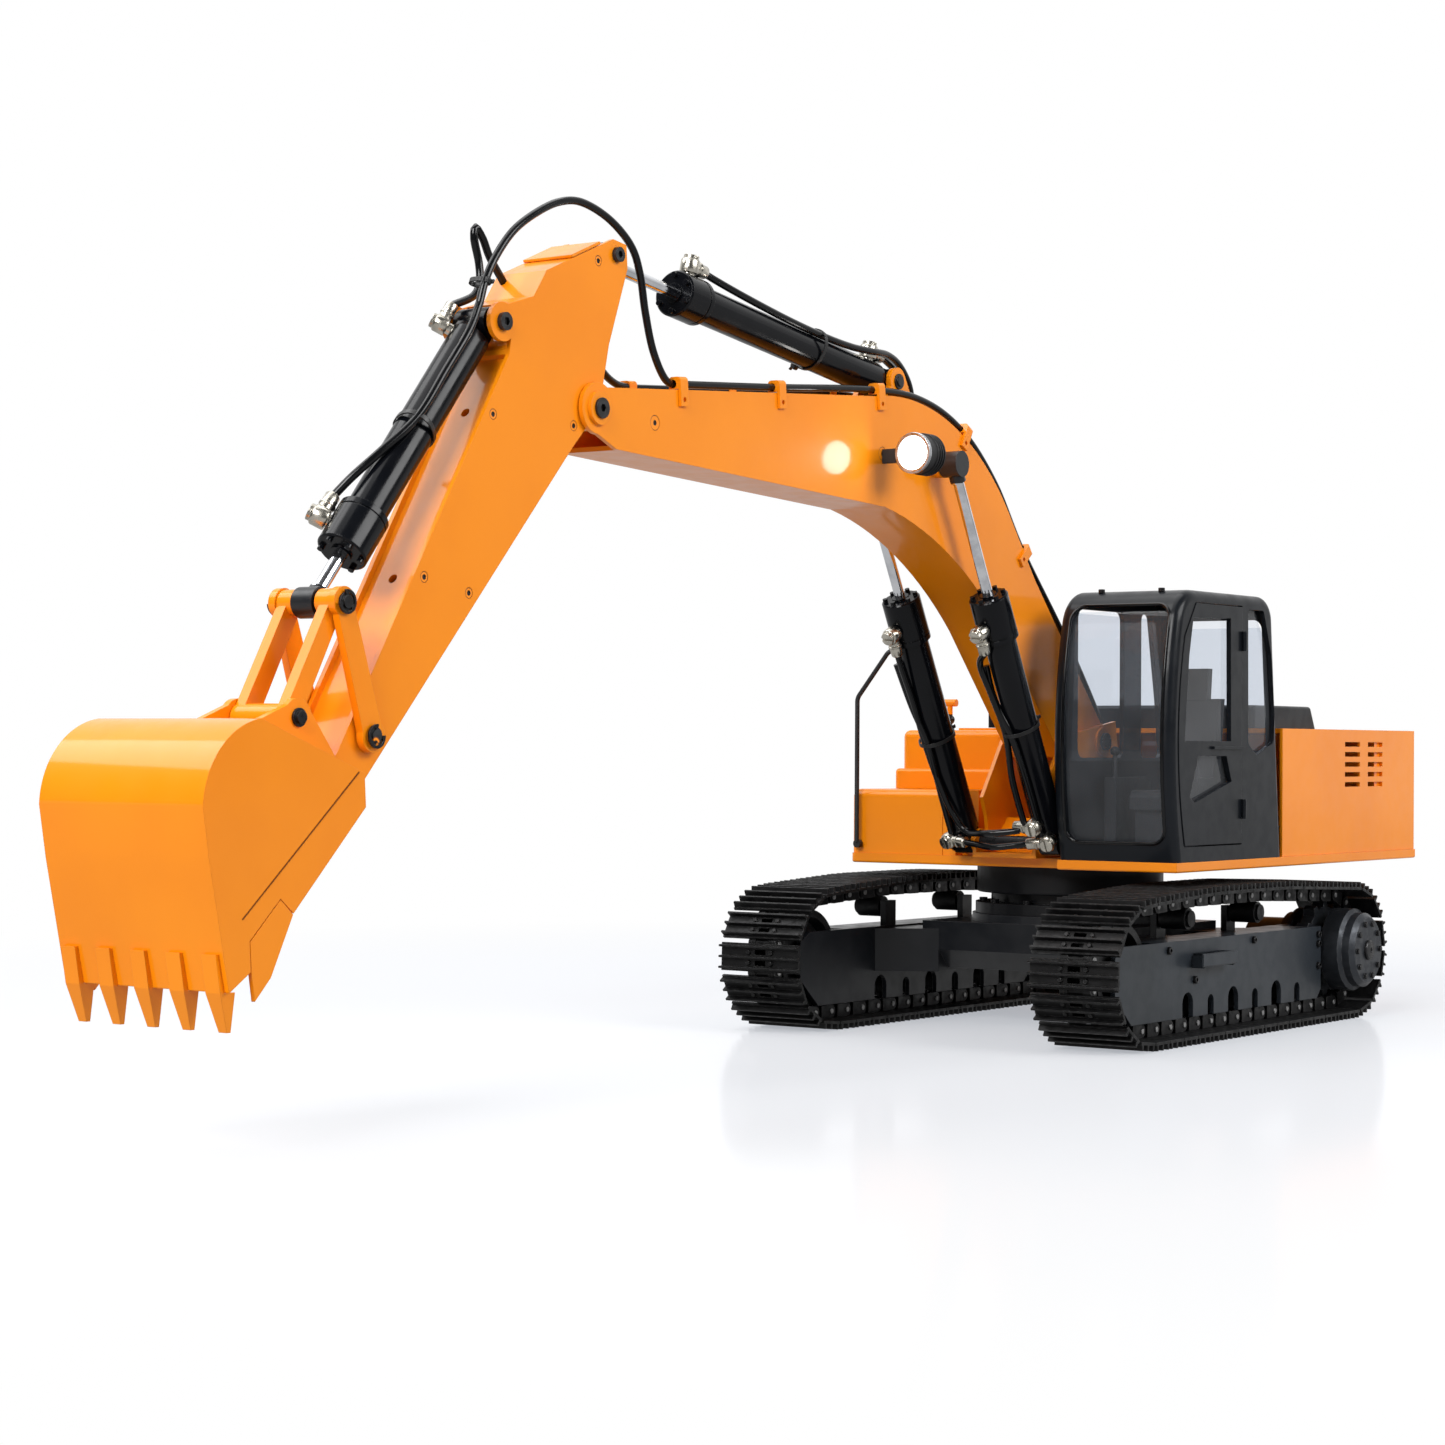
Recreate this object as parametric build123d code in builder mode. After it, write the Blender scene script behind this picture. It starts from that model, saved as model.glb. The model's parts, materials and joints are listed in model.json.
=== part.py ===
from build123d import *
import math
import os

# Remote-controlled hydraulic excavator, 1:12 scale.
# Frame: +X forward (towards the bucket), +Y to the cab side, +Z up.
# Origin: on the ground, on the swing axis. All sizes in millimetres.

os.makedirs("parts", exist_ok=True)

# ---------------------------------------------------------------- driving dimensions
RUN = 0.05            # radial running clearance of shafts in bores

# crawler tracks
PITCH = 18.0          # chain pitch
TEETH = 12            # sprocket teeth
SHOES = 45            # shoes on each track
GAUGE_HALF = 108.0    # track centre line from the middle plane
SHOE_WIDTH = 57.0
LINK_HALF = 4.0       # half height of a chain link
PLATE_T = 1.8         # shoe plate thickness
GROUSER = 3.4         # grouser height
CHAIN_R = PITCH / (2 * math.sin(math.pi / TEETH))
PIN_Z = LINK_HALF + PLATE_T + GROUSER
WHEEL_Z = PIN_Z + CHAIN_R
SPROCKET_X = -141.0
IDLER_X = 152.0
CARRIER_X = (65.0, -30.0)
CARRIER_Z = 72.0
CARRIER_R = 6.95
FRAME_IN = 94.0       # inner face of a track frame
FRAME_OUT = 122.0     # outer face of a track frame
FRAME_TOP = 60.0

# house
DECK_Z = 100.0
DECK_T = 6.0
FLOOR = DECK_Z + DECK_T
HOUSE_HALF = 120.0
REAR_X = -268.0
CAB_FRONT_X = 90.0
RIGHT_FRONT_X = 73.0
PANEL_TOP = 187.0
SLEW_R = 59.0

# cab
CAB_IN = 40.5
CAB_OUT = 121.0
CAB_REAR_X = -56.0
CAB_TOP = 269.0
CAB_WALL = 3.0

# pivots in the XZ plane
BOOM_FOOT = (0.0, 178.0)
BOOM_CYL_BASE = (77.0, 115.5)
BOOM_CYL_EYE = (197.0, 338.0)
BOOM_CYL_Y = 30.5
ARM_PIVOT = (518.0, 341.0)
ARM_CYL_BASE = (229.0, 384.0)
ARM_CYL_EYE = (500.0, 420.0)
BUCKET_CYL_BASE = (589.0, 376.0)
LEVER_PIVOT = (684.0, 177.0)
LINK_TOP = (704.0, 237.0)
LINK_LOW = (733.0, 185.0)
BUCKET_PIVOT = (708.0, 151.0)

BOOM_HALF = 18.5
ARM_HALF = 15.5
SHEET = 2.5
BUCKET_HALF = 49.0
ROD_R = 3.25
BARREL_R = 9.8
PISTON_R = 7.5


# ---------------------------------------------------------------- helpers
def side(y):
    """Plane parallel to XZ at height y; extruding from it runs towards -Y."""
    return Plane.XZ.offset(-y)


def slab(points, y0, y1, mode=Mode.ADD):
    """Flat plate with an XZ outline, from y0 to y1, in the part being built."""
    with BuildSketch(side(y1)) as face:
        with BuildLine():
            Polyline(*points, close=True)
        make_face()
    extrude(face.sketch, amount=y1 - y0, mode=mode)


def bar(centre, radius, y0, y1, mode=Mode.ADD):
    """Round bar along Y through an XZ point."""
    with Locations((centre[0], (y0 + y1) / 2, centre[1])):
        Cylinder(radius, y1 - y0, rotation=(90, 0, 0), mode=mode)


def block(x0, x1, y0, y1, z0, z1, mode=Mode.ADD):
    """Box between two corners."""
    with Locations(((x0 + x1) / 2, (y0 + y1) / 2, (z0 + z1) / 2)):
        Box(x1 - x0, y1 - y0, z1 - z0, mode=mode)


def parallel(points, distance):
    """The open outline shifted to its left by distance, with mitred corners."""
    shifted = []
    for i, (x, z) in enumerate(points):
        before = points[max(i - 1, 0)]
        after = points[min(i + 1, len(points) - 1)]
        normals = []
        for a, b in ((before, (x, z)), ((x, z), after)):
            length = math.dist(a, b)
            if length > 0:
                normals.append(((a[1] - b[1]) / length, (b[0] - a[0]) / length))
        nx = sum(n[0] for n in normals) / len(normals)
        nz = sum(n[1] for n in normals) / len(normals)
        scale = distance / (nx * nx + nz * nz)
        shifted.append((x + nx * scale, z + nz * scale))
    return shifted


def strip(points, inset, thickness, half_width):
    """Bent sheet strip to the left of an open outline, across the middle plane."""
    near = parallel(points, inset)
    far = parallel(points, inset + thickness)
    slab(near + far[::-1], -half_width, half_width)


def save(part, name):
    part.label = name
    export_step(part, f"parts/{name}.step")


def both_sides(part):
    """A part and its mirror image in the middle plane, as two solids."""
    return Compound(children=[part, mirror(part, about=Plane.XZ)])


def group(parts):
    return Compound(children=parts)


def angle_of(start, end):
    return math.degrees(math.atan2(end[1] - start[1], end[0] - start[0]))


def tapered(start, end, start_half, end_half):
    """Outline of a bar that tapers from one pivot to the other."""
    tilt = math.radians(angle_of(start, end))
    nx, nz = -math.sin(tilt), math.cos(tilt)
    return [
        (start[0] - nx * start_half, start[1] - nz * start_half), (end[0] - nx * end_half, end[1] - nz * end_half),
        (end[0] + nx * end_half, end[1] + nz * end_half), (start[0] + nx * start_half, start[1] + nz * start_half),
    ]


# ---------------------------------------------------------------- track chain
def tangent_angle(centre, point, turn):
    """Angle on a chain wheel where the run to an outside point leaves it."""
    reach = math.dist(centre, point)
    return angle_of(centre, point) + turn * math.degrees(math.acos(CHAIN_R / reach))


carrier_tops = [(x, CARRIER_Z + CARRIER_R + 0.05 + LINK_HALF) for x in CARRIER_X]
idler_centre = (IDLER_X, WHEEL_Z)
sprocket_centre = (SPROCKET_X, WHEEL_Z)
idler_end = tangent_angle(idler_centre, carrier_tops[0], -1)
sprocket_start = tangent_angle(sprocket_centre, carrier_tops[1], 1)

sprocket_leave = (
    SPROCKET_X + CHAIN_R * math.cos(math.radians(sprocket_start)),
    WHEEL_Z + CHAIN_R * math.sin(math.radians(sprocket_start)),
)
with BuildLine(Plane.XZ) as chain_line:
    Line((SPROCKET_X, PIN_Z), (IDLER_X, PIN_Z))
    front_bend = CenterArc(idler_centre, CHAIN_R, -90, idler_end + 90)
    idler_leave = front_bend @ 1
    Polyline((idler_leave.X, idler_leave.Z), *carrier_tops, sprocket_leave)
    CenterArc(sprocket_centre, CHAIN_R, sprocket_start, 270 - sprocket_start)
chain_loop = chain_line.wire()
pin_points = [chain_loop @ (i / SHOES) for i in range(SHOES)]


def chain_places(y):
    """Where each link sits: between two pins, its x along the chain, its z to the inside."""
    places = []
    for i, pin in enumerate(pin_points):
        ahead = pin_points[(i + 1) % SHOES]
        along = ahead - pin
        middle = (pin + ahead) / 2
        turn = -math.degrees(math.atan2(along.Z, along.X))
        places.append(Location((middle.X, y, middle.Z), (0, turn, 0)))
    return places


SHOE_LENGTH = PITCH - 0.8
with BuildPart() as shoe:
    slab(
        [
            (-SHOE_LENGTH / 2, -LINK_HALF - 0.1),
            (-SHOE_LENGTH / 2, -LINK_HALF - PLATE_T),
            (SHOE_LENGTH / 2, -LINK_HALF - PLATE_T),
            (SHOE_LENGTH / 2, -LINK_HALF - 0.1),
        ],
        -SHOE_WIDTH / 2,
        SHOE_WIDTH / 2,
    )
    for x in (-6.6, 0.0, 6.6):
        slab(
            [(x - 1.0, -LINK_HALF - 1), (x - 0.6, -PIN_Z), (x + 0.6, -PIN_Z), (x + 1.0, -LINK_HALF - 1)],
            -SHOE_WIDTH / 2,
            SHOE_WIDTH / 2,
        )
    for x in (-3.3, 3.3):
        block(x - 1.6, x + 1.6, -4, 4, -PIN_Z, 0, mode=Mode.SUBTRACT)

PLATE_IN = 5.0        # inner face of a link's front half
PLATE_MID = 7.5       # joint between its two halves
PLATE_OUT = 10.0      # outer face of its rear half
PIN_R = 1.55
with BuildPart() as link:
    for hand in (-1, 1):
        inner = sorted((hand * PLATE_IN, hand * PLATE_MID))
        outer = sorted((hand * PLATE_MID, hand * PLATE_OUT))
        block(-2, PITCH / 2, *inner, -LINK_HALF, LINK_HALF)
        bar((PITCH / 2, 0), LINK_HALF, *inner)
        bar((PITCH / 2, 0), PIN_R + 0.4, *inner, mode=Mode.SUBTRACT)
        block(-PITCH / 2, 2, *outer, -LINK_HALF, LINK_HALF)
        bar((-PITCH / 2, 0), LINK_HALF, *outer)
    bar((-PITCH / 2, 0), 3.0, -PLATE_IN + 0.05, PLATE_IN - 0.05)
    bar((-PITCH / 2, 0), PIN_R, -PLATE_OUT - 0.6, PLATE_OUT + 0.6)

shoes, links = [], []
for y in (-GAUGE_HALF, GAUGE_HALF):
    for place in chain_places(y):
        shoes.append(shoe.part.moved(place))
        links.append(link.part.moved(place))
save(group(shoes), "track_shoes")
save(group(links), "track_links")

# ---------------------------------------------------------------- track wheels
SPROCKET_TIP = CHAIN_R - 3.5
SPROCKET_ROOT = CHAIN_R - 7.5
HUB_R = 26.6
SHAFT_R = 5.0
with BuildPart() as sprocket:
    bar((0, 0), SPROCKET_ROOT, -4, 4)
    for i in range(TEETH):
        turn = math.radians(i * 360 / TEETH)
        half_root, half_tip = math.radians(9), math.radians(4)
        corners = [
            ((SPROCKET_ROOT - 1) * math.cos(turn + a), (SPROCKET_ROOT - 1) * math.sin(turn + a))
            for a in (-half_root, half_root)
        ]
        tips = [(SPROCKET_TIP * math.cos(turn + a), SPROCKET_TIP * math.sin(turn + a)) for a in (half_tip, -half_tip)]
        slab(corners + tips, -4, 4)
    with BuildSketch(Plane.XY) as hub_profile:
        with BuildLine():
            Polyline(
                (0, 3), (14, 3), (14, 10), (HUB_R, 12), (HUB_R, 24), (24, 26),
                (24, 31), (21, 34), (0, 34), close=True,
            )
        make_face()
    revolve(hub_profile.sketch, axis=Axis.Y)
    bar((0, 0), SHAFT_R + RUN, -4, 8, mode=Mode.SUBTRACT)
right_wheel = mirror(sprocket.part, about=Plane.XZ)
save(sprocket.part.moved(Location((SPROCKET_X, GAUGE_HALF, WHEEL_Z))), "left_sprocket")
save(right_wheel.moved(Location((SPROCKET_X, -GAUGE_HALF, WHEEL_Z))), "right_sprocket")

IDLER_R = math.sqrt(CHAIN_R**2 - (PITCH / 2) ** 2) - LINK_HALF - 0.2
with BuildPart() as idler:
    with BuildSketch(Plane.XY) as idler_profile:
        with BuildLine():
            Polyline(
                (0, -10.4), (9, -10.4), (9, -6), (22, -4), (25, -9.5), (IDLER_R, -9.5),
                (IDLER_R, 9.5), (25, 9.5), (22, 4), (9, 6), (9, 10.4), (0, 10.4), close=True,
            )
        make_face()
    revolve(idler_profile.sketch, axis=Axis.Y)
    bar((0, 0), SHAFT_R + RUN, -11, 11, mode=Mode.SUBTRACT)
save(idler.part.moved(Location((IDLER_X, GAUGE_HALF, WHEEL_Z))), "left_idler")
save(idler.part.moved(Location((IDLER_X, -GAUGE_HALF, WHEEL_Z))), "right_idler")

CARRIER_AXLE_R = 2.5
with BuildPart() as carrier:
    bar((0, 0), CARRIER_R - 0.4, -8.5, 8.5)
    bar((0, 0), 5.0, 8.5, 10.5)
    bar((0, 0), CARRIER_AXLE_R + RUN, -9, 8, mode=Mode.SUBTRACT)
for name, y, roller in (
    ("left", GAUGE_HALF, carrier.part),
    ("right", -GAUGE_HALF, mirror(carrier.part, about=Plane.XZ)),
):
    for place, x in zip(("front", "rear"), CARRIER_X):
        save(roller.moved(Location((x, y, CARRIER_Z))), f"{name}_{place}_carrier_roller")

ROLLER_R = 7.0
ROLLER_Z = PIN_Z + LINK_HALF + ROLLER_R + 0.1
ROLLER_X = [-91 + 30.5 * i for i in range(7)]
with BuildPart() as roller:
    with BuildSketch(Plane.XY) as roller_profile:
        with BuildLine():
            Polyline(
                (2.55, -9.5), (ROLLER_R, -9.5), (ROLLER_R, -5), (5.6, -3.5), (5.6, 3.5),
                (ROLLER_R, 5), (ROLLER_R, 9.5), (2.55, 9.5), close=True,
            )
        make_face()
    revolve(roller_profile.sketch, axis=Axis.Y)
save(
    group([
        roller.part.moved(Location((x, y, ROLLER_Z)))
        for y in (-GAUGE_HALF, GAUGE_HALF) for x in ROLLER_X
    ]),
    "track_rollers",
)

# ---------------------------------------------------------------- undercarriage
PLATE = 3.0
PLATE_REAR_X = -112.0
with BuildPart() as track_frame:
    outer_outline = [
        (PLATE_REAR_X, FRAME_TOP), (PLATE_REAR_X, 20), (-106, 14), (148, 14), (168, 31), (168, 54), (158, FRAME_TOP),
    ]
    slab(outer_outline, FRAME_OUT - PLATE, FRAME_OUT)
    slab(outer_outline, FRAME_IN, FRAME_IN + PLATE)
    bar(sprocket_centre, 26, FRAME_IN, FRAME_IN + PLATE)
    block(-130, PLATE_REAR_X + 1, FRAME_IN, FRAME_IN + PLATE, WHEEL_Z - 16, FRAME_TOP)
    bar(sprocket_centre, 12.0, FRAME_IN, FRAME_IN + PLATE, mode=Mode.SUBTRACT)
    block(-100, 116, FRAME_IN, FRAME_OUT, FRAME_TOP - PLATE, FRAME_TOP)
    block(-100, -96, FRAME_IN, FRAME_OUT, 30, FRAME_TOP)
    block(112, 116, FRAME_IN, FRAME_OUT, 30, FRAME_TOP)
    bar(idler_centre, SHAFT_R, FRAME_IN, FRAME_OUT)
    for x in ROLLER_X:
        bar((x, ROLLER_Z), CARRIER_AXLE_R, FRAME_IN, FRAME_OUT)
    for y0, y1 in ((FRAME_IN, FRAME_IN + PLATE), (FRAME_OUT - PLATE, FRAME_OUT)):
        for i, x in enumerate(ROLLER_X[:-1]):
            middle = x + 15.25
            width = 7 if i % 2 else 4
            block(middle - width, middle + width, y0, y1, 10, 22, mode=Mode.SUBTRACT)
            bar((middle, 22), width, y0, y1, mode=Mode.SUBTRACT)
    for x in CARRIER_X:
        block(x - 6, x + 6, FRAME_IN, FRAME_IN + 4, FRAME_TOP - 2, CARRIER_Z + 4)
        bar((x, CARRIER_Z), CARRIER_AXLE_R, FRAME_IN + 2, GAUGE_HALF + 6)
save(both_sides(track_frame.part), "track_frames")

with BuildPart() as motor:
    bar(sprocket_centre, 19, 62, FRAME_IN - 0.05)
    bar(sprocket_centre, 23, 88, FRAME_IN - 0.05)
    bar(sprocket_centre, 11.9, FRAME_IN - 0.05, FRAME_IN + 5)
    bar(sprocket_centre, SHAFT_R, FRAME_IN, GAUGE_HALF + 7)
save(both_sides(motor.part), "travel_motors")

BEAM_HALF = 50.0
with BuildPart() as x_frame:
    slab([(-BEAM_HALF, 34), (BEAM_HALF, 34), (62, 46), (62, 64), (-62, 64), (-62, 46)], -72, 72)
    for hand in (-1, 1):
        for x in (-1, 1):
            with BuildSketch(Plane.XY.offset(32)) as arm_shape:
                with BuildLine():
                    Polyline((x * 10, hand * 60), (x * 62, hand * 60), (x * 84, hand * 93.9), (x * 34, hand * 93.9), close=True)
                make_face()
            extrude(arm_shape.sketch, amount=27)
    with Locations((0, 0, 66)):
        Cylinder(62, 6)
save(x_frame.part, "x_frame")

SLEW_POST_R = 20.0
with BuildPart() as slew_base:
    with Locations((0, 0, 72.5)):
        Cylinder(60, 7)
    with Locations((0, 0, 79)):
        Cylinder(50, 6)
    with Locations((0, 0, 88)):
        Cylinder(SLEW_POST_R, 20)
    with PolarLocations(55, 12):
        with Locations((0, 0, 77)):
            Cylinder(2.6, 2.6)
save(slew_base.part, "slew_base")

with BuildPart() as slew_drum:
    with Locations((0, 0, (82.3 + DECK_Z - 0.05) / 2)):
        Cylinder(SLEW_R, DECK_Z - 0.05 - 82.3)
        Cylinder(SLEW_POST_R + RUN, 20, mode=Mode.SUBTRACT)
    fillet(slew_drum.edges().filter_by(GeomType.CIRCLE).group_by(Axis.Z)[0].sort_by(SortBy.RADIUS)[-1], 1.2)
save(slew_drum.part, "slew_drum")

SCREW_SPOTS = ((102, 55), (68, 36), (-12, 56), (-107, 55), (-107, 49), (-107, 35))
with BuildPart() as plate_screw:
    bar((0, 0), 2.3, FRAME_OUT + 0.03, FRAME_OUT + 2)
    fillet(plate_screw.edges().filter_by(GeomType.CIRCLE).group_by(Axis.Y)[-1], 0.7)
    with BuildSketch(side(FRAME_OUT + 2)) as socket:
        RegularPolygon(1.25, 6)
    extrude(socket.sketch, amount=1.2, mode=Mode.SUBTRACT)
side_screws = [plate_screw.part.moved(Location((x, 0, z))) for x, z in SCREW_SPOTS]
save(group(side_screws + [mirror(s, about=Plane.XZ) for s in side_screws]), "undercarriage_screws")

# ---------------------------------------------------------------- house
with BuildPart() as deck:
    with BuildSketch(Plane.XY.offset(DECK_Z)) as deck_outline:
        with BuildLine():
            Polyline(
                (CAB_FRONT_X, HOUSE_HALF + 1), (CAB_FRONT_X, CAB_IN), (RIGHT_FRONT_X, CAB_IN),
                (RIGHT_FRONT_X, -HOUSE_HALF), (REAR_X, -HOUSE_HALF), (REAR_X, HOUSE_HALF + 1), close=True,
            )
        make_face()
        fillet(deck_outline.vertices().group_by(Axis.Y)[0], 4)
    extrude(amount=DECK_T)
    fillet(deck.edges().filter_by(Plane.XY).group_by(Axis.Z)[0], 1.2)
save(deck.part, "deck")

BRACKET_IN, BRACKET_OUT = 19.8, 22.3
FOOT_PIN_R = 4.0
CYL_TUBE_END = 23.8
with BuildPart() as bracket:
    for y0, y1 in ((BRACKET_IN, BRACKET_OUT), (-BRACKET_OUT, -BRACKET_IN)):
        slab(
            [
                (-36, FLOOR), (-18, 191), (49, 181), (76, 143), (71, 131), (69, 121), (84, 112), (84, FLOOR),
            ],
            y0, y1,
        )
        bar(BOOM_CYL_BASE, 8.2, y0, y1)
        bar(BOOM_FOOT, 9, y0 - (y0 < 0) * 1.5, y1 + (y1 > 0) * 1.5)
    block(-30, 84, -BRACKET_IN, BRACKET_IN, FLOOR, FLOOR + 3)
    slab([(40, 109), (58, 109), (58, 118), (46, 130), (43, 130)], -BRACKET_IN, BRACKET_IN)
    for y0, y1 in ((BRACKET_OUT - 0.5, CYL_TUBE_END), (-CYL_TUBE_END, -BRACKET_OUT + 0.5)):
        bar(BOOM_CYL_BASE, 7.0, y0, y1)
    bar(BOOM_CYL_BASE, FOOT_PIN_R + 0.01, -40, 40, mode=Mode.SUBTRACT)
    bar(BOOM_FOOT, FOOT_PIN_R + 0.01, -40, 40, mode=Mode.SUBTRACT)
save(bracket.part, "boom_bracket")

with BuildPart() as foot_pin:
    bar(BOOM_FOOT, FOOT_PIN_R, -25, 25)
    for y0, y1 in ((24.2, 26.2), (-26.2, -24.2)):
        bar(BOOM_FOOT, 5.5, y0, y1)
with BuildPart() as base_pin:
    bar(BOOM_CYL_BASE, FOOT_PIN_R, -39.4, 39.4)
    for y0, y1 in ((37.3, 38.6), (-38.6, -37.3)):
        bar(BOOM_CYL_BASE, 5.5, y0, y1)
save(group([foot_pin.part, base_pin.part]), "bracket_pins")

with BuildPart() as left_panel:
    slab([(CAB_REAR_X - 1.5, FLOOR), (REAR_X, FLOOR), (REAR_X, PANEL_TOP), (CAB_REAR_X - 1.5, PANEL_TOP)],
         HOUSE_HALF - 2, HOUSE_HALF)
    for column in (-165, -202):
        for row in range(5):
            z = 149.5 + 6.6 * row
            block(column - 12, column + 12, 110, 125, z, z + 3, mode=Mode.SUBTRACT)
with BuildPart() as right_panel:
    slab([(-64, FLOOR), (REAR_X, FLOOR), (REAR_X, PANEL_TOP), (-64, PANEL_TOP)], -HOUSE_HALF, -HOUSE_HALF + 2)
    for column in (-110, -150):
        for row in range(5):
            z = 149.5 + 6.6 * row
            block(column - 12, column + 12, -125, -110, z, z + 3, mode=Mode.SUBTRACT)
save(group([left_panel.part, right_panel.part]), "side_panels")

INSIDE = HOUSE_HALF - 2.05
with BuildPart() as counterweight:
    with BuildSketch(Plane.XY.offset(FLOOR)) as weight_outline:
        with BuildLine():
            Line((-205, -INSIDE), (-205, INSIDE))
            Line((-205, INSIDE), (REAR_X, INSIDE))
            ThreePointArc((REAR_X, INSIDE), (REAR_X - 17, 0), (REAR_X, -INSIDE))
            Line((REAR_X, -INSIDE), (-205, -INSIDE))
        make_face()
    extrude(amount=PANEL_TOP - FLOOR - 3.1)
    fillet(counterweight.edges().filter_by(GeomType.CIRCLE), 4)
save(counterweight.part, "counterweight")

HOOD_FRONT_X, HOOD_REAR_X, HOOD_HALF = -62.0, -156.0, 98.0
with BuildPart() as top_plate:
    block(REAR_X + 4, CAB_REAR_X - 2, -INSIDE, INSIDE, PANEL_TOP - 3, PANEL_TOP)
    block(HOOD_REAR_X + 12, HOOD_FRONT_X - 6, -88, 88, PANEL_TOP - 4, PANEL_TOP + 1, mode=Mode.SUBTRACT)
    fillet(top_plate.edges().filter_by(Axis.Y).group_by(Axis.Z)[-1].sort_by(Axis.X)[0], 2)
save(top_plate.part, "top_plate")

HOOD_TOP = 202.0
with BuildPart() as hood:
    slab([(HOOD_FRONT_X, PANEL_TOP + 0.3), (HOOD_REAR_X, PANEL_TOP + 0.3), (HOOD_REAR_X + 8, HOOD_TOP),
          (HOOD_FRONT_X, HOOD_TOP)], -HOOD_HALF, HOOD_HALF)
    fillet(hood.edges().filter_by(Axis.Y).group_by(Axis.Z)[-1], 3)
    fillet(hood.edges().filter_by(Plane.XZ).group_by(Axis.Z)[-1], 2)
    block(HOOD_REAR_X + 13, HOOD_FRONT_X - 2, -HOOD_HALF + 2, HOOD_HALF - 2, PANEL_TOP, HOOD_TOP - 2, mode=Mode.SUBTRACT)
    bar((HOOD_REAR_X - 2.5, PANEL_TOP + 2.6), 2.3, -60, 60)
    block(HOOD_REAR_X - 2.5, HOOD_REAR_X + 2, -60, 60, PANEL_TOP + 0.8, PANEL_TOP + 2.6)
save(hood.part, "engine_cover")

with BuildPart() as toolbox:
    block(-62, RIGHT_FRONT_X - 1, -HOUSE_HALF + 0.3, -30, FLOOR, 147)
    fillet(toolbox.edges().filter_by(Axis.Z).group_by(Axis.Y)[0], 4)
    fillet(toolbox.edges().group_by(Axis.Z)[-1].sort_by(Axis.X)[-1], 5)
    block(RIGHT_FRONT_X - 1.6, RIGHT_FRONT_X, -51.6, -51, FLOOR, 150, mode=Mode.SUBTRACT)
    # clearance for the foot of the boom cylinder
    block(RIGHT_FRONT_X - 9, RIGHT_FRONT_X + 1, -42, -29, FLOOR, 150, mode=Mode.SUBTRACT)
save(toolbox.part, "toolbox")

with BuildPart() as oil_tank:
    block(-62, 26, -117, -34, 147.05, 160)
    fillet(oil_tank.edges().filter_by(Axis.Z), 4)
    fillet(oil_tank.faces().sort_by(Axis.Z)[-1].edges(), 2.5)
with BuildPart() as tank_top:
    block(-57.5, 22, -113.5, -36, 158, 185)
    fillet(tank_top.edges().filter_by(Axis.Z), 5)
    fillet(tank_top.faces().sort_by(Axis.Z)[-1].edges(), 4.5)
with BuildPart() as tank:
    add(oil_tank.part)
    add(tank_top.part)
    with Locations((0, -90, 188)):
        Cylinder(1.6, 8)
    with Locations((0, -90, 192)):
        Sphere(3.2)
    with Locations((0, -90, 199)):
        Cylinder(1.8, 10)
    bar((0, 203), 2.4, -95, -85)
save(tank.part, "oil_tank")

with BuildPart() as battery:
    block(-150, -95, -60, -10, FLOOR, FLOOR + 34)
    fillet(battery.edges().filter_by(Axis.X), 3)
save(battery.part, "battery")
with BuildPart() as pump:
    with Locations((-120, -88, FLOOR + 22)):
        Cylinder(17, 56, rotation=(0, 90, 0))
    block(-92.5, -70, -106, -70, FLOOR + 4, FLOOR + 40)
    block(-145, -95, -100, -76, FLOOR, FLOOR + 8)
save(pump.part, "hydraulic_pump")
with BuildPart() as valve_block:
    block(-130, -70, 30, 66, FLOOR, FLOOR + 24)
    for i in range(5):
        with Locations((-124 + 12 * i, 74, FLOOR + 14)):
            Cylinder(4, 18, rotation=(90, 0, 0))
save(valve_block.part, "valve_block")
with BuildPart() as receiver:
    block(-190, -160, 20, 70, FLOOR, FLOOR + 16)
    fillet(receiver.edges().filter_by(Axis.Z), 2)
save(receiver.part, "receiver_box")
with BuildPart() as swing_motor:
    with Locations((-58, 0, FLOOR + 26)):
        Cylinder(14, 52)
    with Locations((-58, 0, FLOOR + 2)):
        Cylinder(17, 4)
save(swing_motor.part, "swing_motor")

with BuildPart() as rail:
    with BuildLine() as rail_line:
        wire_x = RIGHT_FRONT_X + 3.2
        FilletPolyline(
            (wire_x, -113, 113), (wire_x, -113, 205), (wire_x + 2, -87, 236), (wire_x - 13, -76, 236), radius=7,
        )
    with BuildSketch(Plane(origin=rail_line.line @ 0, z_dir=rail_line.line % 0)):
        Circle(1.5)
    sweep()
    with Locations((wire_x - 1.5, -113, 112)):
        Cylinder(2.6, 3.4, rotation=(0, 90, 0))
save(rail.part, "mirror_rail")

# ---------------------------------------------------------------- cab
CAB_FRONT = ((CAB_FRONT_X, FLOOR), (98.0, 172.0), (84.0, CAB_TOP))     # bulging front, bottom to top
CAB_BROW_R, CAB_BACK_R = 24.0, 16.0
CAB_BACK_TOP_X = -41.0
CAB_ROUND = 6.0
GLASS = 1.0
REVEAL = CAB_WALL + 0.3         # glass sits just behind the wall

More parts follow.
